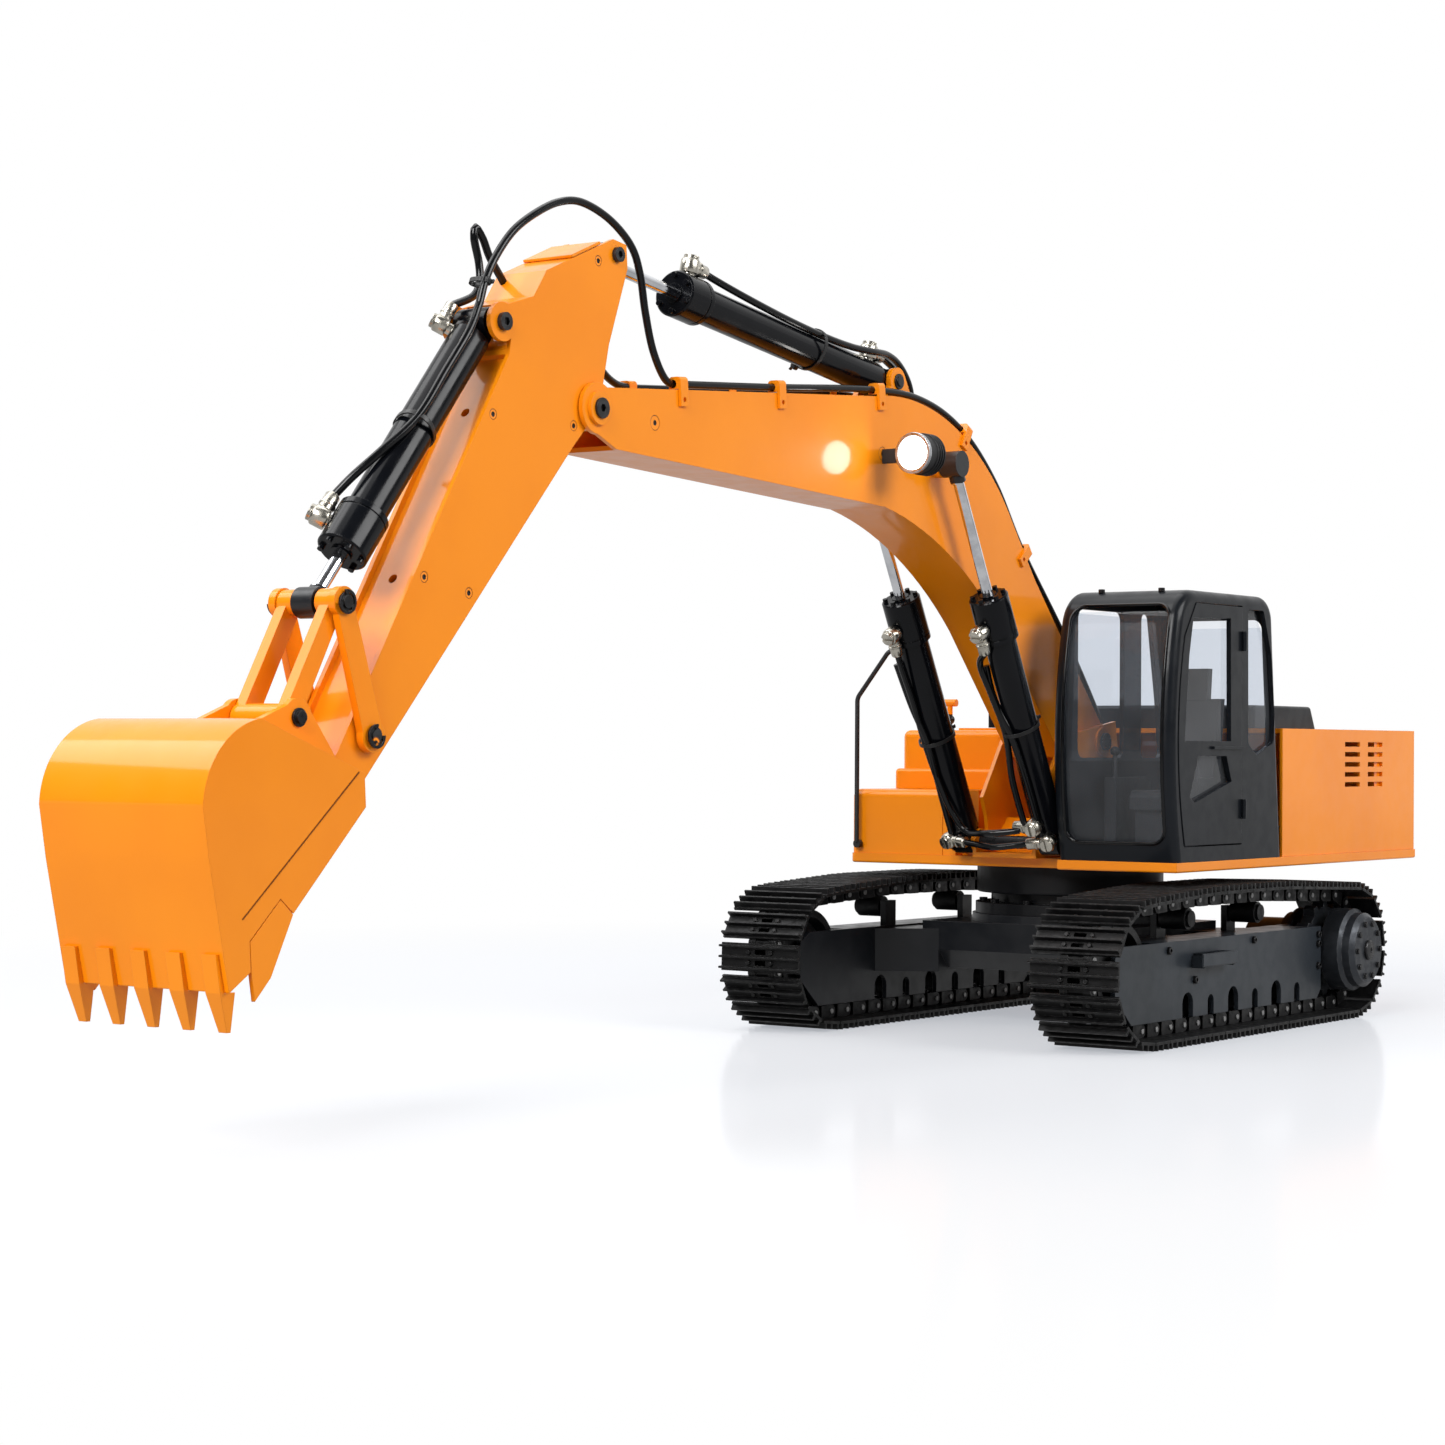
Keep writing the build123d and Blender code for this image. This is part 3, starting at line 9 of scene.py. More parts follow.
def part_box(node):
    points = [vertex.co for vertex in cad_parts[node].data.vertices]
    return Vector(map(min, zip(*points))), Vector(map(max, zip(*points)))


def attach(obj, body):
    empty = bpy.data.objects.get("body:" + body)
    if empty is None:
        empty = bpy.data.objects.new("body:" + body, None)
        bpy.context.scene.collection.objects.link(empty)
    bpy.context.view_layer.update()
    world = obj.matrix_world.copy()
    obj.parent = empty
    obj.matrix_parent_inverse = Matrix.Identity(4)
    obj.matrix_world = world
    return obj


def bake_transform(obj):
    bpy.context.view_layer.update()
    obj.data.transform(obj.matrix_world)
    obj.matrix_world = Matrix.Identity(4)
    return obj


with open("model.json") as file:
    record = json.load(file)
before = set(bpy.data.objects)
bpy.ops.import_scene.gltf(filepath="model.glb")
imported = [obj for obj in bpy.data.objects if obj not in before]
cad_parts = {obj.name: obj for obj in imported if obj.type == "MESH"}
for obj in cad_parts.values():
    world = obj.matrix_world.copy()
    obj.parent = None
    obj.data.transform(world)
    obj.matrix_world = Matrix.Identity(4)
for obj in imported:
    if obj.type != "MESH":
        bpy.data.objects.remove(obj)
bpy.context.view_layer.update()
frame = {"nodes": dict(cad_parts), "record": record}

MM = 0.001
HOSE_RADIUS = 2.0                  # millimetres, like every length in the mesh code
JOINTS = {joint["name"]: joint for joint in frame["record"]["behaviour"]["joints"]}

# colours, and places for the looks in metres
ORANGE = (238, 137, 6)
DEEP_ORANGE = (232, 131, 5)
RING_WIDTH = 0.0005
PIN_ENDS = ((0.09, 0.09795), (0.11805, 0.13))      # distances from the machine's middle
TANK_BAND = (0.1858, 0.1955)                       # black stripe round the oil tank, heights
# half width of the band between the tracks where the track frames get painted shade, in metres
TRACK_SHADE_HALF_WIDTH = 0.108
BOOM_EYE, ARM_EYE = (0.197, 0.338), (0.500, 0.420)
BOOM_SCREWS = ((0.471, 0.338), (0.255, 0.340))
ARM_SCREWS = ((0.596, 0.331), (0.515, 0.415), (0.534, 0.331), (0.645, 0.251), (0.613, 0.245), (0.685, 0.174))


def pivot(name):
    """Place of a hinge, in metres."""
    return Vector(JOINTS[name]["pos_m"])


# ---------------------------------------------------------------- materials
def linear(rgb):
    """A 0-255 screen colour as linear light."""
    return tuple(c / 3294.6 if c <= 10.31 else ((c / 255 + 0.055) / 1.055) ** 2.4 for c in rgb)


class Look:
    """A procedural material, built up one property at a time."""

    def __init__(self, name, rgb, roughness=0.5, metallic=0.0, **sockets):
        self.material = bpy.data.materials.new(name)
        self.material.use_nodes = True
        self.tree = self.material.node_tree
        self.shader = self.tree.nodes["Principled BSDF"]
        self.shader.inputs["Base Color"].default_value = (*linear(rgb), 1.0)
        self.shader.inputs["Roughness"].default_value = roughness
        self.shader.inputs["Metallic"].default_value = metallic
        for socket, value in sockets.items():
            self.shader.inputs[socket.replace("_", " ")].default_value = value
        self.place = self.node("ShaderNodeTexCoord").outputs["Object"]

    def node(self, kind, **settings):
        made = self.tree.nodes.new(kind)
        for key, value in settings.items():
            setattr(made, key, value)
        return made

    def join(self, output, target):
        self.tree.links.new(output, target)

    def noise(self, size, detail=4.0):
        """Noise whose features are about size metres across."""
        mapping = self.node("ShaderNodeMapping")
        mapping.inputs["Scale"].default_value = [1 / size] * 3
        self.join(self.place, mapping.inputs["Vector"])
        texture = self.node("ShaderNodeTexNoise")
        texture.inputs["Scale"].default_value = 1.0
        texture.inputs["Detail"].default_value = detail
        self.join(mapping.outputs["Vector"], texture.inputs["Vector"])
        return texture.outputs["Fac"]

    def span(self, value, low, high, start=0.35, end=0.65):
        """value, remapped so that start..end becomes low..high."""
        ramp = self.node("ShaderNodeMapRange", interpolation_type="SMOOTHSTEP")
        for socket, number in zip(("From Min", "From Max", "To Min", "To Max"), (start, end, low, high)):
            ramp.inputs[socket].default_value = number
        self.join(value, ramp.inputs["Value"])
        return ramp.outputs["Result"]

    def mix(self, factor, first, second):
        """Colour mix; either colour can be a socket or an rgb triple in 0-255."""
        mixer = self.node("ShaderNodeMix", data_type="RGBA")
        self.join(factor, mixer.inputs["Factor"])
        for socket, colour in ((mixer.inputs[6], first), (mixer.inputs[7], second)):
            if isinstance(colour, bpy.types.NodeSocket):
                self.join(colour, socket)
            else:
                socket.default_value = (*linear(colour), 1.0)
        return mixer.outputs[2]

    def tint(self, colour):
        self.join(colour, self.shader.inputs["Base Color"])

    def rough(self, value):
        self.join(value, self.shader.inputs["Roughness"])

    def metal(self, value):
        self.join(value, self.shader.inputs["Metallic"])

    def near(self, spot, radius):
        """1 inside a circle round an XZ spot, in metres; 0 outside it."""
        offset = self.node("ShaderNodeVectorMath", operation="SUBTRACT")
        self.join(self.place, offset.inputs[0])
        offset.inputs[1].default_value = (spot[0], 0.0, spot[1])
        level = self.node("ShaderNodeVectorMath", operation="MULTIPLY")
        self.join(offset.outputs["Vector"], level.inputs[0])
        level.inputs[1].default_value = (1.0, 0.0, 1.0)
        length = self.node("ShaderNodeVectorMath", operation="LENGTH")
        self.join(level.outputs["Vector"], length.inputs[0])
        inside = self.node("ShaderNodeMath", operation="LESS_THAN")
        self.join(length.outputs["Value"], inside.inputs[0])
        inside.inputs[1].default_value = radius
        return inside.outputs["Value"]

    def between(self, axis, low, high, both_sides=False):
        """1 where a coordinate, or its distance from the middle, lies from low to high, in metres."""
        parts = self.node("ShaderNodeSeparateXYZ")
        self.join(self.place, parts.inputs["Vector"])
        value = parts.outputs[axis]
        if both_sides:
            value = self.number("ABSOLUTE", value)
        above = self.number("GREATER_THAN", value, low)
        below = self.number("LESS_THAN", value, high)
        return self.number("MULTIPLY", above, below)

    def number(self, operation, first, second=0.0):
        """Arithmetic on sockets or plain numbers."""
        sum_node = self.node("ShaderNodeMath", operation=operation)
        for socket, value in zip(sum_node.inputs, (first, second)):
            if isinstance(value, bpy.types.NodeSocket):
                self.join(value, socket)
            else:
                socket.default_value = value
        return sum_node.outputs["Value"]

    def bump(self, height, depth):
        """Adds surface relief, depth in metres, on top of any relief already there."""
        relief = self.node("ShaderNodeBump")
        relief.inputs["Distance"].default_value = depth
        self.join(height, relief.inputs["Height"])
        normal = self.shader.inputs["Normal"]
        if normal.links:
            self.join(normal.links[0].from_socket, relief.inputs["Normal"])
        self.join(relief.outputs["Normal"], normal)

    def edges(self, radius):
        """1 on convex and concave edges, 0 on flat faces."""
        bevel = self.node("ShaderNodeBevel", samples=4)
        bevel.inputs["Radius"].default_value = radius
        geometry = self.node("ShaderNodeNewGeometry")
        dot = self.node("ShaderNodeVectorMath", operation="DOT_PRODUCT")
        self.join(bevel.outputs["Normal"], dot.inputs[0])
        self.join(geometry.outputs["Normal"], dot.inputs[1])
        return self.span(dot.outputs["Value"], 1.0, 0.0, 0.80, 0.995)

    def soften(self, radius):
        """Rounds every edge in the shading, as a paint film does."""
        bevel = self.node("ShaderNodeBevel", samples=4)
        bevel.inputs["Radius"].default_value = radius
        self.join(bevel.outputs["Normal"], self.shader.inputs["Normal"])


def painted(name, rgb, darker, roughness, coat, edge=0.0006, peel=0.00002, gloss=0.2, marks_and_shade=()):
    """Sprayed enamel; (mask maker, rgb) pairs give places with another colour, or with painted shade."""
    look = Look(
        name, rgb, roughness, Coat_Weight=coat, Coat_Roughness=0.10, Coat_IOR=1.5, Specular_IOR_Level=gloss,
    )
    look.soften(edge)
    colour = look.mix(look.span(look.noise(0.09), 0.0, 1.0), darker, rgb)
    for mask, other in marks_and_shade:
        colour = look.mix(mask(look), colour, other)
    look.tint(colour)
    look.rough(look.span(look.noise(0.012, 6.0), roughness - 0.05, roughness + 0.06))
    look.bump(look.noise(0.0016, 2.0), peel)
    return look


def bare_metal(name, rgb, roughness):
    """Machined metal with fine scratches."""
    look = Look(name, rgb, roughness, 1.0)
    look.soften(0.0003)
    look.tint(look.mix(look.span(look.noise(0.01, 5.0), 0.0, 1.0), [c * 0.86 for c in rgb], rgb))
    look.rough(look.span(look.noise(0.004, 6.0), roughness * 0.7, roughness * 1.4))
    look.bump(look.noise(0.0007, 3.0), 0.000006)
    return look


def plastic(name, rgb, roughness, grain=0.0009, depth=0.00003):
    """Moulded plastic or vinyl with a fine grain."""
    look = Look(name, rgb, roughness)
    look.soften(0.0004)
    look.tint(look.mix(look.span(look.noise(0.02), 0.0, 1.0), [c * 0.85 for c in rgb], rgb))
    look.rough(look.span(look.noise(0.006, 5.0), roughness - 0.06, roughness + 0.08))
    look.bump(look.noise(grain, 2.0), depth)
    return look


def worn_steel(name, rgb, roughness, bright, amount):
    """Blackened steel that has lost its black on the edges."""
    look = Look(name, rgb, roughness, 0.55)
    look.soften(0.0005)
    chips = look.node("ShaderNodeMath", operation="MULTIPLY")
    look.join(look.edges(0.0009), chips.inputs[0])
    look.join(look.span(look.noise(0.003, 6.0), 0.0, amount, 0.42, 0.62), chips.inputs[1])
    dusty = look.mix(look.span(look.noise(0.015, 6.0), 0.0, 0.5), rgb, [c + 10 for c in rgb])
    look.tint(look.mix(chips.outputs["Value"], dusty, bright))
    look.rough(look.span(look.noise(0.005, 6.0), roughness - 0.1, roughness + 0.12))
    look.bump(look.noise(0.0012, 5.0), 0.00005)
    return look


def clear(name, rgb, weight):
    """Thin clear sheet: see-through, mirror-like at a low angle on the side that faces the eye."""
    look = Look(name, rgb, 0.03)
    tree = look.tree
    tree.nodes.remove(look.shader)

    def mixed(factor, first, second):
        mixer = look.node("ShaderNodeMixShader")
        look.join(factor, mixer.inputs["Fac"])
        look.join(first, mixer.inputs[1])
        look.join(second, mixer.inputs[2])
        return mixer.outputs["Shader"]

    through = look.node("ShaderNodeBsdfTransparent")
    through.inputs["Color"].default_value = (*linear(rgb), 1.0)
    mirror = look.node("ShaderNodeBsdfGlossy")
    mirror.inputs["Roughness"].default_value = 0.03
    film = look.node("ShaderNodeBsdfDiffuse")
    film.inputs["Color"].default_value = (0.8, 0.83, 0.88, 1.0)
    dust = look.span(look.noise(0.03, 4.0), weight * 0.8, weight * 1.2)
    haze = mixed(dust, through.outputs["BSDF"], film.outputs["BSDF"])
    fresnel = look.node("ShaderNodeFresnel")
    fresnel.inputs["IOR"].default_value = 1.35
    geometry = look.node("ShaderNodeNewGeometry")
    front = look.number("SUBTRACT", 1.0, geometry.outputs["Backfacing"])
    shine = look.number("MULTIPLY", fresnel.outputs["Fac"], front)
    look.join(mixed(shine, haze, mirror.outputs["BSDF"]), tree.nodes["Material Output"].inputs["Surface"])
    return look


def rod_look(name, eye, reach):
    """Polished rod with a black eye."""
    look = Look(name, (226, 228, 232), 0.1, 1.0)
    look.soften(0.0003)
    black = look.near(eye, reach)
    bright = look.mix(look.span(look.noise(0.01, 5.0), 0.0, 1.0), (204, 206, 211), (228, 230, 234))
    look.tint(look.mix(black, bright, (19, 21, 25)))
    look.metal(look.number("SUBTRACT", 1.0, black))
    polish = look.span(look.noise(0.003, 4.0), 0.07, 0.13)
    look.rough(look.number("ADD", polish, look.number("MULTIPLY", black, 0.25)))
    return look


def pins_look(name, screws, radius, key):
    """Black pins; at each spot a countersunk screw in the body colour, with a shadow ring and a key."""
    look = Look(name, (22, 22, 24), 0.36, 0.0, Specular_IOR_Level=0.4)
    look.soften(0.0004)
    colour = look.mix(look.span(look.noise(0.004, 5.0), 0.0, 1.0), (19, 19, 21), (34, 35, 38))
    for spot in screws:
        colour = look.mix(look.near(spot, radius), colour, (128, 66, 16))
        colour = look.mix(look.near(spot, radius - RING_WIDTH), colour, ORANGE)
        colour = look.mix(look.near(spot, key), colour, (24, 18, 14))
    look.tint(colour)
    look.rough(look.span(look.noise(0.004, 5.0), 0.28, 0.46))
    look.bump(look.noise(0.0008, 4.0), 0.00002)
    return look


def orange_enamel(name, marks_and_shade=()):
    """The machine's main paint."""
    return painted(name, ORANGE, DEEP_ORANGE, 0.42, 0.62, peel=0.000004, gloss=0.1, marks_and_shade=marks_and_shade)


def link_steel(name):
    """Link steel with bright ends on the pins, which stand out on both sides of each chain."""
    look = worn_steel(name, (20, 20, 21), 0.42, (120, 120, 120), 0.5)
    steel = look.shader.inputs["Base Color"].links[0].from_socket
    inner, outer = (look.between(1, low, high, both_sides=True) for low, high in PIN_ENDS)
    look.tint(look.mix(look.number("MAXIMUM", inner, outer), steel, (150, 150, 150)))
    return look


def flat_spot(joint):
    """XZ place of a hinge, in metres."""
    return pivot(joint).x, pivot(joint).z


orange = orange_enamel("orange_paint")
tank_paint = orange_enamel("tank_paint", [(lambda look: look.between(2, *TANK_BAND), (22, 22, 24))])
cab_black = painted("cab_paint", (17, 20, 25), (14, 17, 21), 0.34, 0.12, gloss=0.15)
tube_black = painted("cylinder_paint", (9, 11, 15), (7, 8, 12), 0.18, 0.1, 0.0004, 0.0000005, gloss=0.16)
# everything on the frames between the tracks is painted darker: painted shade of the machine above, not
# another paint
frame_black = painted(
    "track_frame_paint", (40, 45, 51), (33, 38, 43), 0.40, 0.1, gloss=0.3,
    marks_and_shade=[(lambda look: look.between(1, -TRACK_SHADE_HALF_WIDTH, TRACK_SHADE_HALF_WIDTH), (15, 17, 21))],
)
drum_black = painted("slew_paint", (9, 10, 13), (7, 8, 11), 0.45, 0.1, gloss=0.2)
track_black = worn_steel("track_steel", (17, 17, 18), 0.48, (92, 92, 92), 0.35)
link_black = worn_steel("link_steel", (20, 20, 21), 0.42, (120, 120, 120), 0.5)
hub_steel = worn_steel("hub_steel", (46, 49, 54), 0.42, (150, 150, 150), 0.4)
pin_ends = link_steel("link_and_pin_steel")
screw_black = worn_steel("screw_steel", (22, 22, 24), 0.34, (110, 110, 112), 0.3)
boom_rod = rod_look("boom_rod_chrome", BOOM_EYE, 0.0112)
arm_rod = rod_look("arm_rod_chrome", ARM_EYE, 0.0102)
bucket_rod = rod_look("bucket_rod_chrome", flat_spot("link_hinge"), 0.0083)
boom_pin_look = pins_look("boom_pin_steel", BOOM_SCREWS, 0.0041, 0.0014)
arm_pin_look = pins_look("arm_pin_steel", ARM_SCREWS, 0.0028, 0.0013)
nickel = bare_metal("nickel", (205, 200, 188), 0.24)
alloy = bare_metal("machined_alloy", (190, 192, 196), 0.32)
black_plastic = plastic("black_plastic", (22, 22, 24), 0.55)
hose_rubber = painted("hose_rubber", (10, 11, 13), (8, 9, 11), 0.16, 0.0, 0.0003, 0.0000003, gloss=0.3)
tie_plastic = plastic("tie_plastic", (12, 12, 13), 0.4)
vinyl = plastic("seat_vinyl", (20, 21, 24), 0.6, 0.0012, 0.00012)
battery_wrap = plastic("battery_wrap", (30, 42, 78), 0.35)
case_plastic = plastic("case_plastic", (30, 30, 33), 0.5)
window = clear("window", (244, 246, 249), 0.02)


def dress(look, *nodes):
    """Gives CAD nodes their material."""
    for name in nodes:
        mesh = frame["nodes"][name].data
        mesh.materials.clear()
        mesh.materials.append(look.material)


def smooth(name, angle=30):
    """Shades a CAD node smoothly over curves that continue from one face into the next."""
    mesh = frame["nodes"][name].data
    places = [tuple(round(c, 6) for c in vertex.co) for vertex in mesh.vertices]
    corners = [(face, places[v]) for face in mesh.polygons for v in face.vertices]
    meeting = {}
    for face, place in corners:
        meeting.setdefault(place, []).append(face)
    normals = []
    limit = math.cos(math.radians(angle))
    for face, place in corners:
        near = [other for other in meeting[place] if other.normal.dot(face.normal) > limit]
        normals.append(sum((other.normal * other.area for other in near), Vector()).normalized())
    mesh.normals_split_custom_set(normals)


smooth("bucket")
dress(orange, "boom", "arm", "side_panels", "toolbox", "hose_clamps", "deck", "counterweight",
      "top_plate", "boom_bracket", "bucket", "bucket_teeth", "side_cutters", "bucket_levers", "bucket_link")
dress(cab_black, "cab_shell", "cab_door", "engine_cover")
dress(tank_paint, "oil_tank")
dress(frame_black, "track_frames", "x_frame", "travel_motors")
dress(drum_black, "slew_base", "slew_drum")
dress(track_black, "track_shoes", "left_idler", "right_idler", "track_rollers",
      *[f"{side}_{place}_carrier_roller" for side in ("left", "right") for place in ("front", "rear")])
dress(hub_steel, "left_sprocket", "right_sprocket")
dress(pin_ends, "track_links")
dress(boom_pin_look, "boom_pins")
dress(arm_pin_look, "arm_pins")
dress(screw_black, "bucket_pins", "lever_pins", "bracket_pins", "undercarriage_screws")
dress(tube_black, *[f"{c}_cylinder_barrel" for c in ("left_boom", "right_boom", "arm", "bucket")])
dress(boom_rod, "left_boom_cylinder_rod", "right_boom_cylinder_rod")
dress(arm_rod, "arm_cylinder_rod")
dress(bucket_rod, "bucket_cylinder_rod")
dress(alloy, "hydraulic_pump", "valve_block", "swing_motor")
dress(black_plastic, "mirror_rail", "lamp_housing")
dress(case_plastic, "receiver_box")
dress(vinyl, "cab_seat")
dress(battery_wrap, "battery")
dress(window, "cab_glass", "door_glass")

lens_look = Look("lamp_glow", (255, 255, 255), 0.2)
lens_look.shader.inputs["Emission Color"].default_value = (1.0, 0.98, 0.94, 1.0)
lens_look.shader.inputs["Emission Strength"].default_value = 12.0
dress(lens_look, "lamp_lens")


# ---------------------------------------------------------------- mesh building blocks
def finish_piece(name, bm, look, body=None, smooth=35):
    """Turns a bmesh into a piece with a look, riding on a body if one is named."""
    bmesh.ops.recalc_face_normals(bm, faces=bm.faces)
    mesh = bpy.data.meshes.new(name)
    bm.to_mesh(mesh)
    bm.free()
    mesh.materials.append(look.material)
    piece = bpy.data.objects.new(name, mesh)
    bpy.context.scene.collection.objects.link(piece)
    for face in mesh.polygons:
        face.use_smooth = True
    mesh.set_sharp_from_angle(angle=math.radians(smooth))
    if body:
        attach(piece, body)
    return piece


def frame_at(place, out, along=(0, 0, 1)):
    """Matrix with its Z axis along out, its X axis as near to along as it can be, at place in millimetres."""
    z = Vector(out).normalized()
    x = Vector(along)
    x = (x - z * x.dot(z)).normalized()
    y = z.cross(x)
    at = Vector(place) * MM
    return Matrix(((x.x, y.x, z.x, at.x), (x.y, y.y, z.y, at.y), (x.z, y.z, z.z, at.z), (0, 0, 0, 1)))


def rings(bm, loops, matrix, closed=False):
    """Skin over a list of equally long point loops; the two ends are filled unless closed on themselves."""
    rows = [[bm.verts.new(matrix @ (Vector(p) * MM)) for p in loop] for loop in loops]
    pairs = list(zip(rows, rows[1:])) + ([(rows[-1], rows[0])] if closed else [])
    for low, high in pairs:
        for i in range(len(low)):
            j = (i + 1) % len(low)
            bm.faces.new((low[i], low[j], high[j], high[i]))
    if not closed:
        bm.faces.new(rows[0][::-1])
        bm.faces.new(rows[-1])


def circle(radius, height, count=24):
    """Points round a circle at a height."""
    turns = [2 * math.pi * i / count for i in range(count)]
    return [(radius * math.cos(turn), radius * math.sin(turn), height) for turn in turns]


def lathe(bm, profile, matrix, count=24):
    """Turned part from (radius, height) pairs."""
    rings(bm, [circle(r, h, count) for r, h in profile], matrix)


def hexagon(radius, height, count=24):
    """A hexagon with as many points as a circle, so that the two can be skinned together."""
    points = []
    for i in range(count):
        turn = 2 * math.pi * i / count
        reach = radius * math.cos(math.pi / 6) / math.cos((turn % (math.pi / 3)) - math.pi / 6)
        points.append((reach * math.cos(turn), reach * math.sin(turn), height))
    return points


def socket_head(bm, matrix, radius, height, key=0.5):
    """Cap screw head with a hexagon socket."""
    rings(bm, [
        circle(radius, -0.2), circle(radius, height - 0.25), circle(radius - 0.25, height),
        hexagon(radius * key, height), hexagon(radius * key, height * 0.35),
    ], matrix)


def hex_head(bm, matrix, radius, height):
    """Bolt head with a chamfered hexagon on a washer face."""
    rings(bm, [
        circle(radius * 1.02, -0.2), circle(radius * 1.02, 0.2), hexagon(radius, 0.25),
        hexagon(radius, height - 0.25), circle(radius * 0.8, height),
    ], matrix)


def smooth_path(points, step=2.0):
    """Points along a Catmull-Rom curve, about step millimetres apart."""
    points = [Vector(p) for p in points]
    padded = [2 * points[0] - points[1], *points, 2 * points[-1] - points[-2]]
    path = []
    for a, b, c, d in zip(padded, padded[1:], padded[2:], padded[3:]):
        count = max(2, int((c - b).length / step))
        for i in range(count):
            t = i / count
            path.append(0.5 * ((2 * b) + (c - a) * t + (2 * a - 5 * b + 4 * c - d) * t**2
                               + (3 * b - a - 3 * c + d) * t**3))
    path.append(points[-1])
    return path


def sweep(bm, path, radius, count=14, closed=False):
    """Round tube along a path, without twist."""
    loops = []
    last = len(path) - 1
    normal = None
    for i, point in enumerate(path):
        before = path[i - 1] if i or closed else point
        after = path[(i + 1) % len(path)] if i < last or closed else point
        tangent = (after - before).normalized()
        if normal is None:
            normal = tangent.orthogonal().normalized()
        normal = (normal - tangent * normal.dot(tangent)).normalized()
        side = tangent.cross(normal)
        turns = [2 * math.pi * k / count for k in range(count)]
        loops.append([point + radius * (normal * math.cos(t) + side * math.sin(t)) for t in turns])
    rings(bm, loops, Matrix.Identity(4), closed)


def hose(name, points, body=None):
    """Hydraulic hose through a few points."""
    bm = bmesh.new()
    sweep(bm, smooth_path(points), HOSE_RADIUS)
    return finish_piece(name, bm, hose_rubber, body, 60)


def plate(bm, outline, thickness, matrix):
    """Flat plate from an outline in its own XY plane, with slightly broken edges."""
    edge = min(0.25, thickness / 4)
    middle = sum((Vector(p) for p in outline), Vector((0, 0))) / len(outline)

    def shrunk(height):
        loop = []
        for p in outline:
            inward = (middle - Vector(p)).normalized() * edge
            loop.append((p[0] + inward.x, p[1] + inward.y, height))
        return loop

    lower, upper = ([(*p, height) for p in outline] for height in (edge, thickness - edge))
    rings(bm, [shrunk(0), lower, upper, shrunk(thickness)], matrix)


def rounded_box(bm, matrix, size, edge=0.6):
    """Box with bevelled edges, centred on the matrix."""
    made = bmesh.ops.create_cube(bm, size=1.0)["verts"]
    bmesh.ops.scale(bm, vec=[s * MM for s in size], verts=made)
    bmesh.ops.transform(bm, matrix=matrix, verts=made)
    edges = list({e for v in made for e in v.link_edges})
    bmesh.ops.bevel(bm, geom=edges, offset=edge * MM, segments=2, affect="EDGES")


def banjo(name, body, place, out, hose_way, size=1.25):
    """Nickel hose fitting: slotted bolt, eye and a crimped ferrule; gives back where its hose starts."""
    at = frame_at(place, out, hose_way) @ Matrix.Scale(size, 4)
    bm = bmesh.new()
    bolt = [(2.6, -2.0), (2.6, 0.6)]
    eye = [(3.9, 0.8), (4.1, 1.3), (4.1, 6.0), (3.7, 6.6), (3.3, 6.8), (3.3, 7.4)]
    lathe(bm, bolt + eye, at)
    # the slotted top of the bolt: two half discs with a gap between them
    for hand in (-1, 1):
        turns = [math.radians(a) for a in range(-80, 81, 16)]
        half = [(hand * max(0.5, 3.3 * math.cos(t)), 3.3 * math.sin(t)) for t in turns]
        plate(bm, half, 1.0, at @ Matrix.Translation((0, 0, 7.3 * MM)))
    out_way = Vector(out).normalized()
    way = (at.to_3x3() @ Vector((1, 0, 0))).normalized()
    eye_middle, hose_end = 3.6, 10.0
    ferrule = frame_at(Vector(place) + out_way * eye_middle * size, way, out) @ Matrix.Scale(size, 4)
    neck, collar = [(2.9, 1.0), (2.9, 5.0)], [(3.3, 5.3), (3.3, 6.0)]
    sleeve = [(2.9, 6.3), (2.9, 10.2), (2.5, 10.8), (1.9, 11.0)]
    lathe(bm, neck + collar + sleeve, ferrule)
    finish_piece(name, bm, nickel, body)
    return Vector(place) + (out_way * eye_middle + way * hose_end) * size


def cable_tie(name, body, place, axis, radius, stretch=(0, 0, 0)):
    """Strap round a bundle, with its locking head; stretch moves the outer side out to take in a hose."""
    bm = bmesh.new()
    shift = Vector(stretch)
    at = frame_at(place, axis, shift if shift.length else (0, 1, 0))
    section = [(0.0, -1.2), (0.0, 1.2), (0.7, 1.2), (0.7, -1.2)]
    loops = []
    count = 32
    for i in range(count):
        turn = 2 * math.pi * i / count
        reach = radius + shift.length * max(0.0, math.cos(turn)) ** 3
        loops.append([((reach + r) * math.cos(turn), (reach + r) * math.sin(turn), h) for r, h in section])
    rings(bm, loops, at, closed=True)
    head = at @ Matrix.Translation((-(radius + 1.4) * MM, 0, 0))
    rounded_box(bm, head, (2.6, 4.0, 3.6), 0.5)
    rounded_box(bm, head @ Matrix.Translation((-1.8 * MM, 1.0 * MM, 0)), (3.0, 0.9, 2.2), 0.2)
    finish_piece(name, bm, tie_plastic, body)


def strap(name, cylinder, along, radius, stretch):
    """Cable tie round a cylinder and the hoses on it."""
    cable_tie(name, cylinder.body, cylinder.point(along, 0), cylinder.axis, radius, cylinder.way(*stretch))


